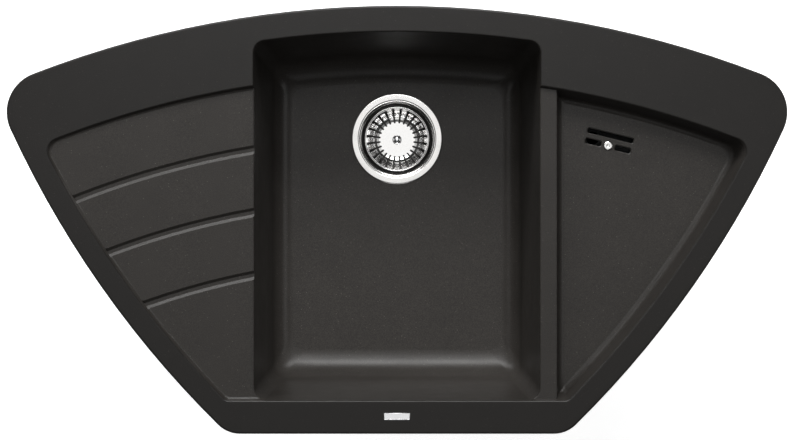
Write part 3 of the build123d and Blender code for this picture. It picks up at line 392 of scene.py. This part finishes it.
def cellular_foam():
    """Closed-cell polyethylene foam strip: charcoal, with open cut cells 0.8 mm across."""
    material, tree, shader = new_material("cellular_foam")
    point = add_node(tree, "TexCoord", {}).outputs["Object"]
    cells = add_node(tree, "TexVoronoi", {"Vector": point, "Scale": 1 / (0.8 * MM)})
    colour = add_node(tree, "Mix", data_type="RGBA", inputs={
        FACTOR: cells, COLOUR_A: hex_colour("1C1C1D"), COLOUR_B: hex_colour("454546")})
    matt = add_node(tree, "MapRange", {"Value": cells, "From Max": 0.6, "To Min": 0.95, "To Max": 0.8})
    bump = add_node(tree, "Bump", {"Height": cells, "Distance": 0.3 * MM, "Strength": 0.6})
    connect(tree, shader, {
        "Base Color": colour, "Roughness": matt, "Specular IOR Level": 0.2, "Normal": bump})
    return material


def moulded_polypropylene():
    """Injection-moulded black polypropylene: waxy, with flow marks and an eroded skin drawn at 0.5 mm."""
    material, tree, shader = new_material("moulded_polypropylene")
    source = add_node(tree, "TexCoord", {}).outputs["Object"]
    along = add_node(tree, "Mapping", {"Vector": source, "Scale": (1.0, 1.0, 0.3)})
    flow = add_node(tree, "TexNoise", {"Vector": along, "Scale": 1 / (22 * MM), "Detail": 3.0})
    skin = add_node(tree, "TexNoise", {"Vector": source, "Scale": 1 / (0.5 * MM), "Detail": 2.0})
    colour = add_node(tree, "Mix", data_type="RGBA", inputs={
        FACTOR: flow, COLOUR_A: hex_colour("18191A"), COLOUR_B: hex_colour("232425")})
    waxy = add_node(tree, "MapRange", {"Value": flow, **NOISE_SPAN, "To Min": 0.42, "To Max": 0.56})
    bump = add_node(tree, "Bump", {"Height": skin, "Distance": 0.04 * MM, "Strength": 0.5})
    connect(tree, shader, {
        "Base Color": colour, "Roughness": waxy, "IOR": 1.49, "Specular IOR Level": 0.3, "Normal": bump})
    return material


def corrugated_pvc():
    """Blow-moulded PVC hose: mid grey and semi-gloss, with dust in patches 9 mm across."""
    material, tree, shader = new_material("corrugated_pvc")
    point = add_node(tree, "TexCoord", {}).outputs["Object"]
    dust = add_node(tree, "TexNoise", {"Vector": point, "Scale": 1 / (9 * MM), "Detail": 3.0})
    skin = add_node(tree, "TexNoise", {"Vector": point, "Scale": 1 / (1.2 * MM), "Detail": 2.0})
    colour = add_node(tree, "Mix", data_type="RGBA", inputs={
        FACTOR: dust, COLOUR_A: hex_colour("96979A"), COLOUR_B: hex_colour("7D7E80")})
    gloss = add_node(tree, "MapRange", {"Value": dust, **NOISE_SPAN, "To Min": 0.3, "To Max": 0.48})
    bump = add_node(tree, "Bump", {"Height": skin, "Distance": 0.04 * MM, "Strength": 0.4})
    connect(tree, shader, {"Base Color": colour, "Roughness": gloss, "Normal": bump})
    return material


def machined_brass():
    """Free-cutting brass, turned: warm yellow, a little dulled, with tool marks drawn 0.9 mm across."""
    material, tree, shader = new_material("machined_brass")
    source = add_node(tree, "TexCoord", {}).outputs["Object"]
    point = add_node(tree, "Mapping", {"Vector": source, "Scale": (1.0, 1.0, 4.0)})
    marks = add_node(tree, "TexNoise", {"Vector": point, "Scale": 1 / (0.9 * MM), "Detail": 2.0})
    colour = add_node(tree, "Mix", data_type="RGBA", inputs={
        FACTOR: marks, COLOUR_A: hex_colour("C9A559"), COLOUR_B: hex_colour("DDBE77")})
    dull = add_node(tree, "MapRange", {"Value": marks, **NOISE_SPAN, "To Min": 0.22, "To Max": 0.36})
    connect(tree, shader, {"Base Color": colour, "Metallic": 1.0, "Roughness": dull})
    return material


def zinc_plate():
    """Bright zinc plate on stamped mild steel, clear passivated: cool grey, clouded in 6 mm patches."""
    material, tree, shader = new_material("zinc_plate")
    point = add_node(tree, "TexCoord", {}).outputs["Object"]
    clouds = add_node(tree, "TexNoise", {
        "Vector": point, "Scale": 1 / (6 * MM), "Detail": 4.0, "Roughness": 0.6})
    grit = add_node(tree, "TexNoise", {"Vector": point, "Scale": 1 / (0.7 * MM), "Detail": 2.0})
    colour = add_node(tree, "Mix", data_type="RGBA", inputs={
        FACTOR: clouds, COLOUR_A: hex_colour("B9BEC4"), COLOUR_B: hex_colour("D2D2CE")})
    dull = add_node(tree, "MapRange", {"Value": clouds, **NOISE_SPAN, "To Min": 0.26, "To Max": 0.42})
    bump = add_node(tree, "Bump", {"Height": grit, "Distance": 0.02 * MM, "Strength": 0.4})
    connect(tree, shader, {"Base Color": colour, "Metallic": 1.0, "Roughness": dull, "Normal": bump})
    return material


def rolled_strip_steel():
    """Cold-rolled stainless strip: smooth, with streaks drawn 0.9 mm across and five times as long."""
    material, tree, shader = new_material("rolled_strip_steel")
    source = add_node(tree, "TexCoord", {}).outputs["Object"]
    point = add_node(tree, "Mapping", {"Vector": source, "Scale": (1.0, 1.0, 0.2)})
    streaks = add_node(tree, "TexNoise", {"Vector": point, "Scale": 1 / (0.9 * MM), "Detail": 3.0})
    colour = add_node(tree, "Mix", data_type="RGBA", inputs={
        FACTOR: streaks, COLOUR_A: hex_colour("C6C6C4"), COLOUR_B: hex_colour("DEDDDB")})
    smooth = add_node(tree, "MapRange", {"Value": streaks, **NOISE_SPAN, "To Min": 0.2, "To Max": 0.34})
    connect(tree, shader, {"Base Color": colour, "Metallic": 1.0, "Roughness": smooth})
    return material


def glass_filled_nylon():
    """Glass-filled nylon, moulded: black, with the grey sheen of fibres at its skin, drawn 1.2 mm across."""
    material, tree, shader = new_material("glass_filled_nylon")
    source = add_node(tree, "TexCoord", {}).outputs["Object"]
    point = add_node(tree, "Mapping", {"Vector": source, "Scale": (1.0, 1.0, 0.35)})
    fibres = add_node(tree, "TexNoise", {
        "Vector": point, "Scale": 1 / (1.2 * MM), "Detail": 3.0, "Roughness": 0.7})
    colour = add_node(tree, "Mix", data_type="RGBA", inputs={
        FACTOR: fibres, COLOUR_A: hex_colour("1B1C1D"), COLOUR_B: hex_colour("323334")})
    sheen = add_node(tree, "MapRange", {"Value": fibres, **NOISE_SPAN, "To Min": 0.4, "To Max": 0.58})
    bump = add_node(tree, "Bump", {"Height": fibres, "Distance": 0.03 * MM, "Strength": 0.4})
    connect(tree, shader, {"Base Color": colour, "Roughness": sheen, "IOR": 1.53, "Normal": bump})
    return material


# ---------------------------------------------------------------- mesh helpers

WELD_DISTANCE = 1e-6
SHARP_ANGLE = math.radians(40)
# Of a thread's ridge: half its foot as a share of the pitch, and its crest as a share of its foot.
RIDGE_HALF, RIDGE_CREST = 0.4, 0.3


def on_waste_axis(height):
    """The point of the waste's axis at a height."""
    return Vector((WASTE_AXIS.x, WASTE_AXIS.y, height))


def add_piece(name, mesh, material, replaced=(), body=BODY):
    """Makes an object of a finished bmesh, smooth but for its sharp edges, riding on a body."""
    bmesh.ops.remove_doubles(mesh, verts=mesh.verts, dist=WELD_DISTANCE)
    bmesh.ops.recalc_face_normals(mesh, faces=mesh.faces)
    data = bpy.data.meshes.new(name)
    mesh.to_mesh(data)
    mesh.free()
    data.shade_smooth()
    data.set_sharp_from_angle(angle=SHARP_ANGLE)
    data.materials.append(material)
    piece = bpy.data.objects.new(name, data)
    bpy.context.scene.collection.objects.link(piece)
    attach(piece, body)
    if replaced:
        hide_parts(*replaced)
    return piece


def place_new(mesh, before, place):
    """Moves what a mesh has gained since its vertices were noted."""
    bmesh.ops.transform(mesh, matrix=place, verts=[v for v in mesh.verts if v not in before])


def edges_at(verts):
    """The edges that end at any of some vertices."""
    return list({edge for vert in verts for edge in vert.link_edges})


def bevel_edges(mesh, verts, width):
    """Bevels the edges at some vertices."""
    bmesh.ops.bevel(
        mesh, geom=edges_at(verts), offset=width, offset_type="OFFSET", segments=2, profile=0.5,
        affect="EDGES", material=-1)


def sink_top(mesh, border, slope, depth):
    """Sinks the top face of a bevelled shape inside a border, with a sloping step between them."""
    top = max(mesh.faces, key=lambda face: face.calc_center_median().z + face.calc_area())
    bmesh.ops.inset_region(mesh, faces=[top], thickness=border)
    bmesh.ops.inset_region(mesh, faces=[top], thickness=slope, depth=-depth)


def spin_outline(mesh, outline, centre, closed=True, steps=128):
    """Adds a turned shape. Outline corners are (radius, height, rounding) in millimetres."""
    before = set(mesh.verts)
    corners = [mesh.verts.new((radius * MM, 0, height * MM)) for radius, height, _ in outline]
    ends = corners[1:] + corners[:1] if closed else corners[1:]
    for start, end in zip(corners, ends):
        mesh.edges.new((start, end))
    for corner, (_, _, rounding) in zip(corners, outline):
        if rounding:
            bmesh.ops.bevel(
                mesh, geom=[corner], offset=rounding * MM, offset_type="OFFSET", segments=6, profile=0.5,
                affect="VERTICES", material=-1)
    verts = [vert for vert in mesh.verts if vert not in before]
    bmesh.ops.spin(
        mesh, geom=verts + edges_at(verts), cent=(0, 0, 0), axis=(0, 0, 1), angle=2 * math.pi,
        steps=steps, use_merge=True)
    place_new(mesh, before, Matrix.Translation(centre))


def helix_ridge(mesh, centre, crest, ridge, pitch, low, high, steps):
    """Adds a closed thread ridge that climbs round an upright axis between two heights.

    Its crest is a radius, its ridge is a height, and its steps are those of one turn.
    """
    half = pitch * RIDGE_HALF
    flat = half * RIDGE_CREST
    root = crest - ridge
    section = [(root, -half), (crest, -flat), (crest, flat), (root, half)]
    start = [mesh.verts.new((centre[0] + out, centre[1], low + half + up)) for out, up in section]
    cap = mesh.faces.new(start)
    climb = high - low - 2 * half
    count = int(steps * climb / pitch)
    bmesh.ops.spin(
        mesh, geom=[cap, *start, *cap.edges], cent=(centre[0], centre[1], 0), axis=(0, 0, 1),
        dvec=(0, 0, climb / count), angle=2 * math.pi * climb / pitch, steps=count, use_duplicate=False)


def bevelled_block(mesh, size, edge, place):
    """Adds a block with bevelled edges at a place. Sizes are in metres."""
    before = set(mesh.verts)
    verts = bmesh.ops.create_cube(mesh, size=1.0)["verts"]
    bmesh.ops.scale(mesh, vec=size, verts=verts)
    bevel_edges(mesh, verts, edge)
    place_new(mesh, before, place)


def clip_head(name, place, material):
    """Adds the hexagon head of a hose clip's screw, with a sunk crown."""
    height, edge = 4.4 * MM, 0.3 * MM
    mesh = bmesh.new()
    made = bmesh.ops.create_cone(
        mesh, cap_ends=True, segments=6, radius1=CLIP_SCREW_RADIUS, radius2=CLIP_SCREW_RADIUS, depth=height)
    bevel_edges(mesh, made["verts"], edge)
    sink_top(mesh, border=0.8 * MM, slope=0.2 * MM, depth=0.9 * MM)
    bmesh.ops.transform(mesh, matrix=place, verts=mesh.verts)
    add_piece(name, mesh, material)


# ---------------------------------------------------------------- pieces


class SINK_OT_casting(bpy.types.Operator):
    """Finish the casting as granite composite"""

    bl_idname = "sink.casting"
    bl_label = "Casting"

    def execute(self, context):
        finish_nodes(granite_composite(context.scene.sink_casting), "sink_body")
        return {"FINISHED"}


class SINK_OT_badge(bpy.types.Operator):
    """Model the bare metal plate in the front rim, with a raised frame"""

    bl_idname = "sink.badge"
    bl_label = "Badge plate"

    def execute(self, context):
        settings = context.scene.sink_badge
        low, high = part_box("badge_plate")
        mesh = bmesh.new()
        gap = Vector((settings.gap, settings.gap, 0))
        bevelled_block(mesh, high - low - 2 * gap, settings.edge, Matrix.Translation((low + high) / 2))
        sink_top(mesh, border=settings.frame_width, slope=0.1 * MM, depth=settings.frame_rise)
        add_piece("badge_blank", mesh, brushed_aluminium(), ["badge_plate"])
        return {"FINISHED"}


class SINK_OT_seals(bpy.types.Operator):
    """Finish the rim's foam strip and the rubber gaskets"""

    bl_idname = "sink.seals"
    bl_label = "Seals"

    def execute(self, context):
        finish_nodes(cellular_foam(), "rim_seal")
        finish_nodes(epdm_rubber(), "flange_gasket", "under_gasket", "overflow_gasket", "basket_seal")
        return {"FINISHED"}


class SINK_OT_waste_dish(bpy.types.Operator):
    """Model the drawn dish: crowned flange, rolled edges, conical seat, hub and spokes"""

    bl_idname = "sink.waste_dish"
    bl_label = "Waste dish"

    def execute(self, context):
        settings = context.scene.sink_waste
        crown = settings.flange_crown / MM
        floor = on_waste_axis(BOWL_FLOOR)
        outline = [
            (57.0, -1.2, 0), (57.0, 0.0, 0.25), (56.3, 0.6 - crown, 0.6), (52.5, 0.6, 2.5), (49.2, 0.6, 1.6),
            (48.4, 0.6 - crown, 0.5), (47.4, 0.6 - crown, 0.5), (46.9, 0.6, 0.4), (45.3, 0.3, 0.9),
            (44.6, -1.0, 0.7), (44.6, -3.9, 0.5), (39.3, -9.2, 0.8), (36.5, -44.5, 3.0), (17.6, -44.5, 0.6),
            (17.0, -45.5, 0), (34.5, -45.5, 3.0), (37.5, -42.0, 1.0), (40.3, -9.7, 0.8), (45.6, -4.4, 0.5),
            (45.6, -1.2, 0),
        ]
        mesh = bmesh.new()
        spin_outline(mesh, outline, floor)
        hub = [(5.1, -52.0, 0.3), (9.0, -52.0, 0.5), (9.0, -50.5, 0.5), (5.1, -50.5, 0.3)]
        spin_outline(mesh, hub, floor, steps=48)
        inner, outer = Vector((8.2, 0, -51.2)) * MM, Vector((17.8, 0, -45.2)) * MM
        run = outer - inner
        width, thickness, edge = 6 * MM, 1.4 * MM, 0.4 * MM
        # How far the first spoke is turned, as a share of the step between two.
        first = 0.25
        slope = Matrix.Rotation(-math.atan2(run.z, run.x), 4, "Y")
        for index in range(settings.spokes):
            turn = Matrix.Rotation(2 * math.pi * (index + first) / settings.spokes, 4, "Z")
            place = Matrix.Translation(floor) @ turn @ Matrix.Translation((inner + outer) / 2) @ slope
            bevelled_block(mesh, (run.length, width, thickness), edge, place)
        add_piece("waste_dish", mesh, polished_stainless(), ["waste_flange"])
        return {"FINISHED"}


class SINK_OT_basket(bpy.types.Operator):
    """Finish the basket, and model its domed knob"""

    bl_idname = "sink.basket"
    bl_label = "Basket"

    def execute(self, context):
        finish_nodes(electropolished_steel(), "basket_strainer")
        finish_nodes(turned_stainless(), "basket_stem", "basket_nut")
        outline = [
            (3.05, 0.0, 0), (5.8, 0.0, 0.3), (5.8, 1.5, 0.5), (4.1, 2.6, 0.6), (4.1, 6.2, 0.8),
            (5.8, 7.4, 0.5), (5.8, 9.4, 1.4), (4.6, 11.0, 1.2), (2.4, 11.85, 1.2), (0.0, 12.0, 0),
        ]
        base = on_waste_axis(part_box("basket_knob")[0].z)
        mesh = bmesh.new()
        spin_outline(mesh, outline, base, closed=False, steps=64)
        add_piece("knob_dome", mesh, bright_chrome(), ["basket_knob"], body="basket")
        return {"FINISHED"}


class SINK_OT_screws(bpy.types.Operator):
    """Finish the waste's and the overflow's screws and their inserts"""

    bl_idname = "sink.screws"
    bl_label = "Screws and inserts"

    def execute(self, context):
        finish_nodes(turned_stainless(), "waste_screw", "overflow_screw")
        finish_nodes(machined_brass(), "waste_insert", "overflow_insert")
        return {"FINISHED"}


class SINK_OT_plumbing(bpy.types.Operator):
    """Finish the waste body, the overflow housing and the hose, and model the body's ribs"""

    bl_idname = "sink.plumbing"
    bl_label = "Plumbing"

    def execute(self, context):
        settings = context.scene.sink_waste
        plastic = moulded_polypropylene()
        finish_nodes(plastic, "waste_body", "overflow_housing")
        finish_nodes(corrugated_pvc(), "overflow_hose")
        top = on_waste_axis(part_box("waste_body")[1].z - BODY_FLANGE)
        # A rib starts inside the chamber's wall and stops as far short of the flange's edge.
        inset, lip = 1.0 * MM, 1.5 * MM
        reach = BODY_RADIUS - CHAMBER_RADIUS - inset
        web = [(-inset, 0.0), (reach, 0.0), (reach, -lip), (-inset, -settings.rib_drop)]
        mesh = bmesh.new()
        for index in range(settings.rib_count):
            before = set(mesh.verts)
            side = [mesh.verts.new((CHAMBER_RADIUS + out, -settings.rib_width / 2, up)) for out, up in web]
            bmesh.ops.extrude_face_region(mesh, geom=[mesh.faces.new(side)])
            far = [vert for vert in mesh.verts if vert not in before and vert not in side]
            bmesh.ops.translate(mesh, vec=(0, settings.rib_width, 0), verts=far)
            turn = Matrix.Rotation(2 * math.pi * (index + 0.5) / settings.rib_count, 4, "Z")
            place_new(mesh, before, Matrix.Translation(top) @ turn)
        ribs = add_piece("waste_ribs", mesh, plastic)
        bevel = ribs.modifiers.new("edges", "BEVEL")
        bevel.width, bevel.segments, bevel.limit_method = 0.3 * MM, 2, "ANGLE"
        return {"FINISHED"}


class SINK_OT_outlet(bpy.types.Operator):
    """Model the outlet tube with the thread that a trap's nut runs on"""

    bl_idname = "sink.outlet"
    bl_label = "Outlet"

    def execute(self, context):
        settings = context.scene.sink_threads
        mount = next(m for m in frame["record"]["mounts"] if m["name"] == "waste_outlet")
        crest, thread = mount["dims"]["r_mm"], mount["dims"]["length_mm"]
        low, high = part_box("outlet_tube")
        length = (high.z - low.z) / MM
        # In millimetres, as the mount's sizes are: the wall, the step over the thread, and the thread's lead.
        wall, step, lead = 2.0, 1.0, 0.8
        root = crest - settings.outlet_ridge / MM
        tube = [
            (root - wall, 0.0, 0.3), (root, 0.0, 0.5), (root, thread, 0),
            (crest - step, thread + step, 0.4), (crest - step, length, 0), (root - wall, length, 0),
        ]
        base = on_waste_axis(low.z)
        mesh = bmesh.new()
        spin_outline(mesh, tube, base, steps=96)
        helix_ridge(
            mesh, base, crest * MM, settings.outlet_ridge, settings.outlet_pitch,
            low.z + lead * MM, low.z + thread * MM, steps=48)
        plastic = frame["nodes"]["waste_body"].material_slots[0].material
        add_piece("threaded_outlet", mesh, plastic, ["outlet_tube"])
        return {"FINISHED"}


class SINK_OT_hose_clips(bpy.types.Operator):
    """Finish the hose's two bands and model the hexagon heads of their screws"""

    bl_idname = "sink.hose_clips"
    bl_label = "Hose clips"

    def execute(self, context):
        strip = rolled_strip_steel()
        finish_nodes(strip, "hose_clip_lower", "hose_clip_upper")
        low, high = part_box("hose_clip_lower")
        down = Vector(((low.x + high.x) / 2, low.y + CLIP_SCREW_RADIUS, low.z + CLIP_SCREW_INSET))
        clip_head("clip_head_lower", Matrix.Translation(down) @ Matrix.Rotation(math.pi, 4, "X"), strip)
        low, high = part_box("hose_clip_upper")
        right = Vector((high.x - CLIP_SCREW_INSET, low.y + CLIP_SCREW_RADIUS, (low.z + high.z) / 2))
        clip_head("clip_head_upper", Matrix.Translation(right) @ Matrix.Rotation(math.pi / 2, 4, "Y"), strip)
        return {"FINISHED"}


class SINK_OT_clamps(bpy.types.Operator):
    """Finish the clamps under the rim, and model their screws' threads"""

    bl_idname = "sink.clamps"
    bl_label = "Clamps"

    def execute(self, context):
        settings = context.scene.sink_threads
        zinc = zinc_plate()
        arms = [joint["child"].replace("arm_", "clamp_arm_") for joint in CLAMP_JOINTS]
        finish_nodes(zinc, "clip_screws", "clip_nuts", *arms)
        finish_nodes(glass_filled_nylon(), "clip_anchors")
        arm_gap, anchor_gap = 0.3 * MM, 0.2 * MM
        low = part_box("clamp_arm_1")[0].z + ARM_SHEET + arm_gap
        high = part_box("clip_anchors")[0].z - anchor_gap
        # A ridge's root lies half a ridge inside its screw.
        crest = CLAMP_SCREW_RADIUS + settings.screw_ridge
        ridge = 1.5 * settings.screw_ridge
        mesh = bmesh.new()
        for joint in CLAMP_JOINTS:
            helix_ridge(mesh, joint["pos_m"], crest, ridge, settings.screw_pitch, low, high, steps=14)
        add_piece("clamp_screw_threads", mesh, zinc)
        return {"FINISHED"}


# ---------------------------------------------------------------- stage

FLOOR_RADIUS = 9.0
FLOOR_GLOW = 0.85
LAMP_DISTANCE = 4.0
SENSOR_WIDTH = 36

# Soft lamps by name, azimuth and elevation in degrees, width and height, and share of their power.
KEY_LAMPS = (
    ("key", 0, 40, (2.0, 1.4), 1.0),
    ("low_back", 338, 22, (3.5, 0.55), 0.62),
    ("high_back", 355, 65, (1.5, 1.2), 0.26),
)
FILL_LAMPS = (
    ("right_fill", 90, 45, (1.8, 1.5), 1.0),
    ("left_fill", 275, 45, (1.8, 1.5), 0.6),
    ("front_fill", 180, 45, (1.8, 1.5), 0.5),
)


def white_floor():
    """Matt white studio floor, which glows to a white page where it is seen straight or in a mirror."""
    material, tree, shader = new_material("studio_floor")
    path = add_node(tree, "LightPath", {}).outputs
    seen = add_node(tree, "Math", {0: path["Is Camera Ray"], 1: path["Is Glossy Ray"]}, operation="MAXIMUM")
    seen = add_node(tree, "Math", {0: seen, 1: path["Is Transmission Ray"]}, operation="MAXIMUM")
    glow = add_node(tree, "Math", {0: seen, 1: FLOOR_GLOW}, operation="MULTIPLY")
    point = add_node(tree, "TexCoord", {}).outputs["Object"]
    fibres = add_node(tree, "TexNoise", {"Vector": point, "Scale": 1 / (3 * MM), "Detail": 2.0})
    colour = add_node(tree, "Mix", data_type="RGBA", inputs={
        FACTOR: fibres, COLOUR_A: hex_colour("EEEEEE"), COLOUR_B: hex_colour("F2F2F2")})
    connect(tree, shader, {
        "Base Color": colour, "Roughness": 0.9, "Specular IOR Level": 0.0,
        "Emission Color": hex_colour("FFFFFF"), "Emission Strength": glow})
    return material


def studio_world(ambient):
    """White room. Mirrors see it bright overhead and behind the sink, and darker low down and in front.

    Directions are on a unit sphere. The bright ceiling leans to the back, and has a soft edge.
    """
    lean, edge, full = 0.07, 0.958, 0.984
    front, back, far_back = 0.03, 0.2, 0.7
    world = bpy.data.worlds.new("studio")
    world.use_nodes = True
    tree = world.node_tree
    tree.nodes.clear()
    direction = add_node(tree, "TexCoord", {}).outputs["Generated"]
    axes = add_node(tree, "SeparateXYZ", {0: direction}).outputs
    tilt = add_node(tree, "Math", {0: axes[1], 1: lean, 2: axes[2]}, operation="MULTIPLY_ADD")
    overhead = add_node(tree, "MapRange", {
        "Value": tilt, "From Min": edge, "From Max": full, "To Min": 0.0, "To Max": 1.0})
    behind = add_node(tree, "MapRange", {
        "Value": axes[1], "From Min": 0.0, "From Max": far_back, "To Min": front, "To Max": back})
    mirrored = add_node(tree, "Math", {0: overhead, 1: behind}, operation="ADD")
    path = add_node(tree, "LightPath", {}).outputs
    glossy = add_node(
        tree, "Math", {0: path["Is Glossy Ray"], 1: path["Is Transmission Ray"]}, operation="MAXIMUM")
    lit = add_node(tree, "Mix", {FACTOR: glossy, NUMBER_A: ambient, NUMBER_B: mirrored})
    shown = add_node(tree, "Mix", {FACTOR: path["Is Camera Ray"], NUMBER_A: lit, NUMBER_B: 1.0})
    background = add_node(tree, "Background", {"Color": hex_colour("FFFFFF"), "Strength": shown})
    add_node(tree, "OutputWorld", {"Surface": background})
    return world


def soft_lamp(name, aim, azimuth, elevation, size, power):
    """Adds an area lamp that looks at a point. Azimuth 0 is behind the sink, and 90 at its right."""
    lamp = bpy.data.lights.new(name, "AREA")
    lamp.shape, lamp.size, lamp.size_y, lamp.energy = "RECTANGLE", *size, power
    place = bpy.data.objects.new(name, lamp)
    turn, rise = math.radians(azimuth), math.radians(elevation)
    out = Vector((math.sin(turn) * math.cos(rise), math.cos(turn) * math.cos(rise), math.sin(rise)))
    place.location = aim + LAMP_DISTANCE * out
    place.rotation_euler = (-out).to_track_quat("-Z", "Y").to_euler()
    bpy.context.scene.collection.objects.link(place)


def add_floor(height):
    """Adds a round floor at a height."""
    mesh = bmesh.new()
    bmesh.ops.create_circle(mesh, cap_ends=True, segments=96, radius=FLOOR_RADIUS)
    bmesh.ops.translate(mesh, vec=(0, 0, height), verts=mesh.verts)
    data = bpy.data.meshes.new("floor")
    mesh.to_mesh(data)
    mesh.free()
    data.materials.append(white_floor())
    floor = bpy.data.objects.new("floor", data)
    bpy.context.scene.collection.objects.link(floor)


def add_camera(aim, height, view_width):
    """Adds the camera straight over a point, with a lens that shows a width there."""
    lens = bpy.data.cameras.new("camera")
    lens.sensor_width = SENSOR_WIDTH
    lens.lens = lens.sensor_width * height / view_width
    lens.clip_start, lens.clip_end = 0.05, 50
    camera = bpy.data.objects.new("camera", lens)
    camera.location = aim + Vector((0, 0, height))
    bpy.context.scene.collection.objects.link(camera)
    bpy.context.scene.camera = camera


class SINK_OT_stage(bpy.types.Operator):
    """Set up the world, the floor, the lamps and the camera"""

    bl_idname = "sink.stage"
    bl_label = "Stage"

    def execute(self, context):
        settings = context.scene.sink_stage
        context.scene.world = studio_world(settings.ambient)
        context.scene.view_settings.view_transform = "Standard"
        add_floor(cad_box[0].z - settings.floor_gap)
        aim = Vector((0, settings.view_middle, RIM_TOP))
        for lamps, power in ((KEY_LAMPS, settings.key_power), (FILL_LAMPS, settings.fill_power)):
            for name, azimuth, elevation, size, share in lamps:
                soft_lamp(name, aim, azimuth, elevation, size, share * power)
        add_camera(aim, settings.camera_height, settings.view_width)
        return {"FINISHED"}


# ---------------------------------------------------------------- panel and registration


SETTINGS = {
    "sink_casting": CastingSettings,
    "sink_badge": BadgeSettings,
    "sink_waste": WasteSettings,
    "sink_threads": ThreadSettings,
    "sink_stage": StageSettings,
}
PIECES = (
    SINK_OT_casting,
    SINK_OT_badge,
    SINK_OT_seals,
    SINK_OT_waste_dish,
    SINK_OT_basket,
    SINK_OT_screws,
    SINK_OT_plumbing,
    SINK_OT_outlet,
    SINK_OT_hose_clips,
    SINK_OT_clamps,
    SINK_OT_stage,
)


class SINK_PT_panel(bpy.types.Panel):
    """Lists the pieces and their settings in the sidebar"""

    bl_label = "Corner sink"
    bl_idname = "SINK_PT_panel"
    bl_space_type = "VIEW_3D"
    bl_region_type = "UI"
    bl_category = "Sink"

    def draw(self, context):
        for piece in PIECES:
            self.layout.operator(piece.bl_idname)
        for name, group in SETTINGS.items():
            box = self.layout.box()
            for key in group.__annotations__:
                box.prop(getattr(context.scene, name), key)


CLASSES = (*SETTINGS.values(), *PIECES, SINK_PT_panel)


def register():
    for cls in CLASSES:
        bpy.utils.register_class(cls)
    for name, group in SETTINGS.items():
        setattr(bpy.types.Scene, name, bpy.props.PointerProperty(type=group))


def unregister():
    for name in SETTINGS:
        delattr(bpy.types.Scene, name)
    for cls in reversed(CLASSES):
        bpy.utils.unregister_class(cls)


def main():
    register()
    bpy.ops.sink.casting()
    bpy.ops.sink.badge()
    bpy.ops.sink.seals()
    bpy.ops.sink.waste_dish()
    bpy.ops.sink.basket()
    bpy.ops.sink.screws()
    bpy.ops.sink.plumbing()
    bpy.ops.sink.outlet()
    bpy.ops.sink.hose_clips()
    bpy.ops.sink.clamps()
    bpy.ops.sink.stage()


if __name__ == "__main__":
    main()
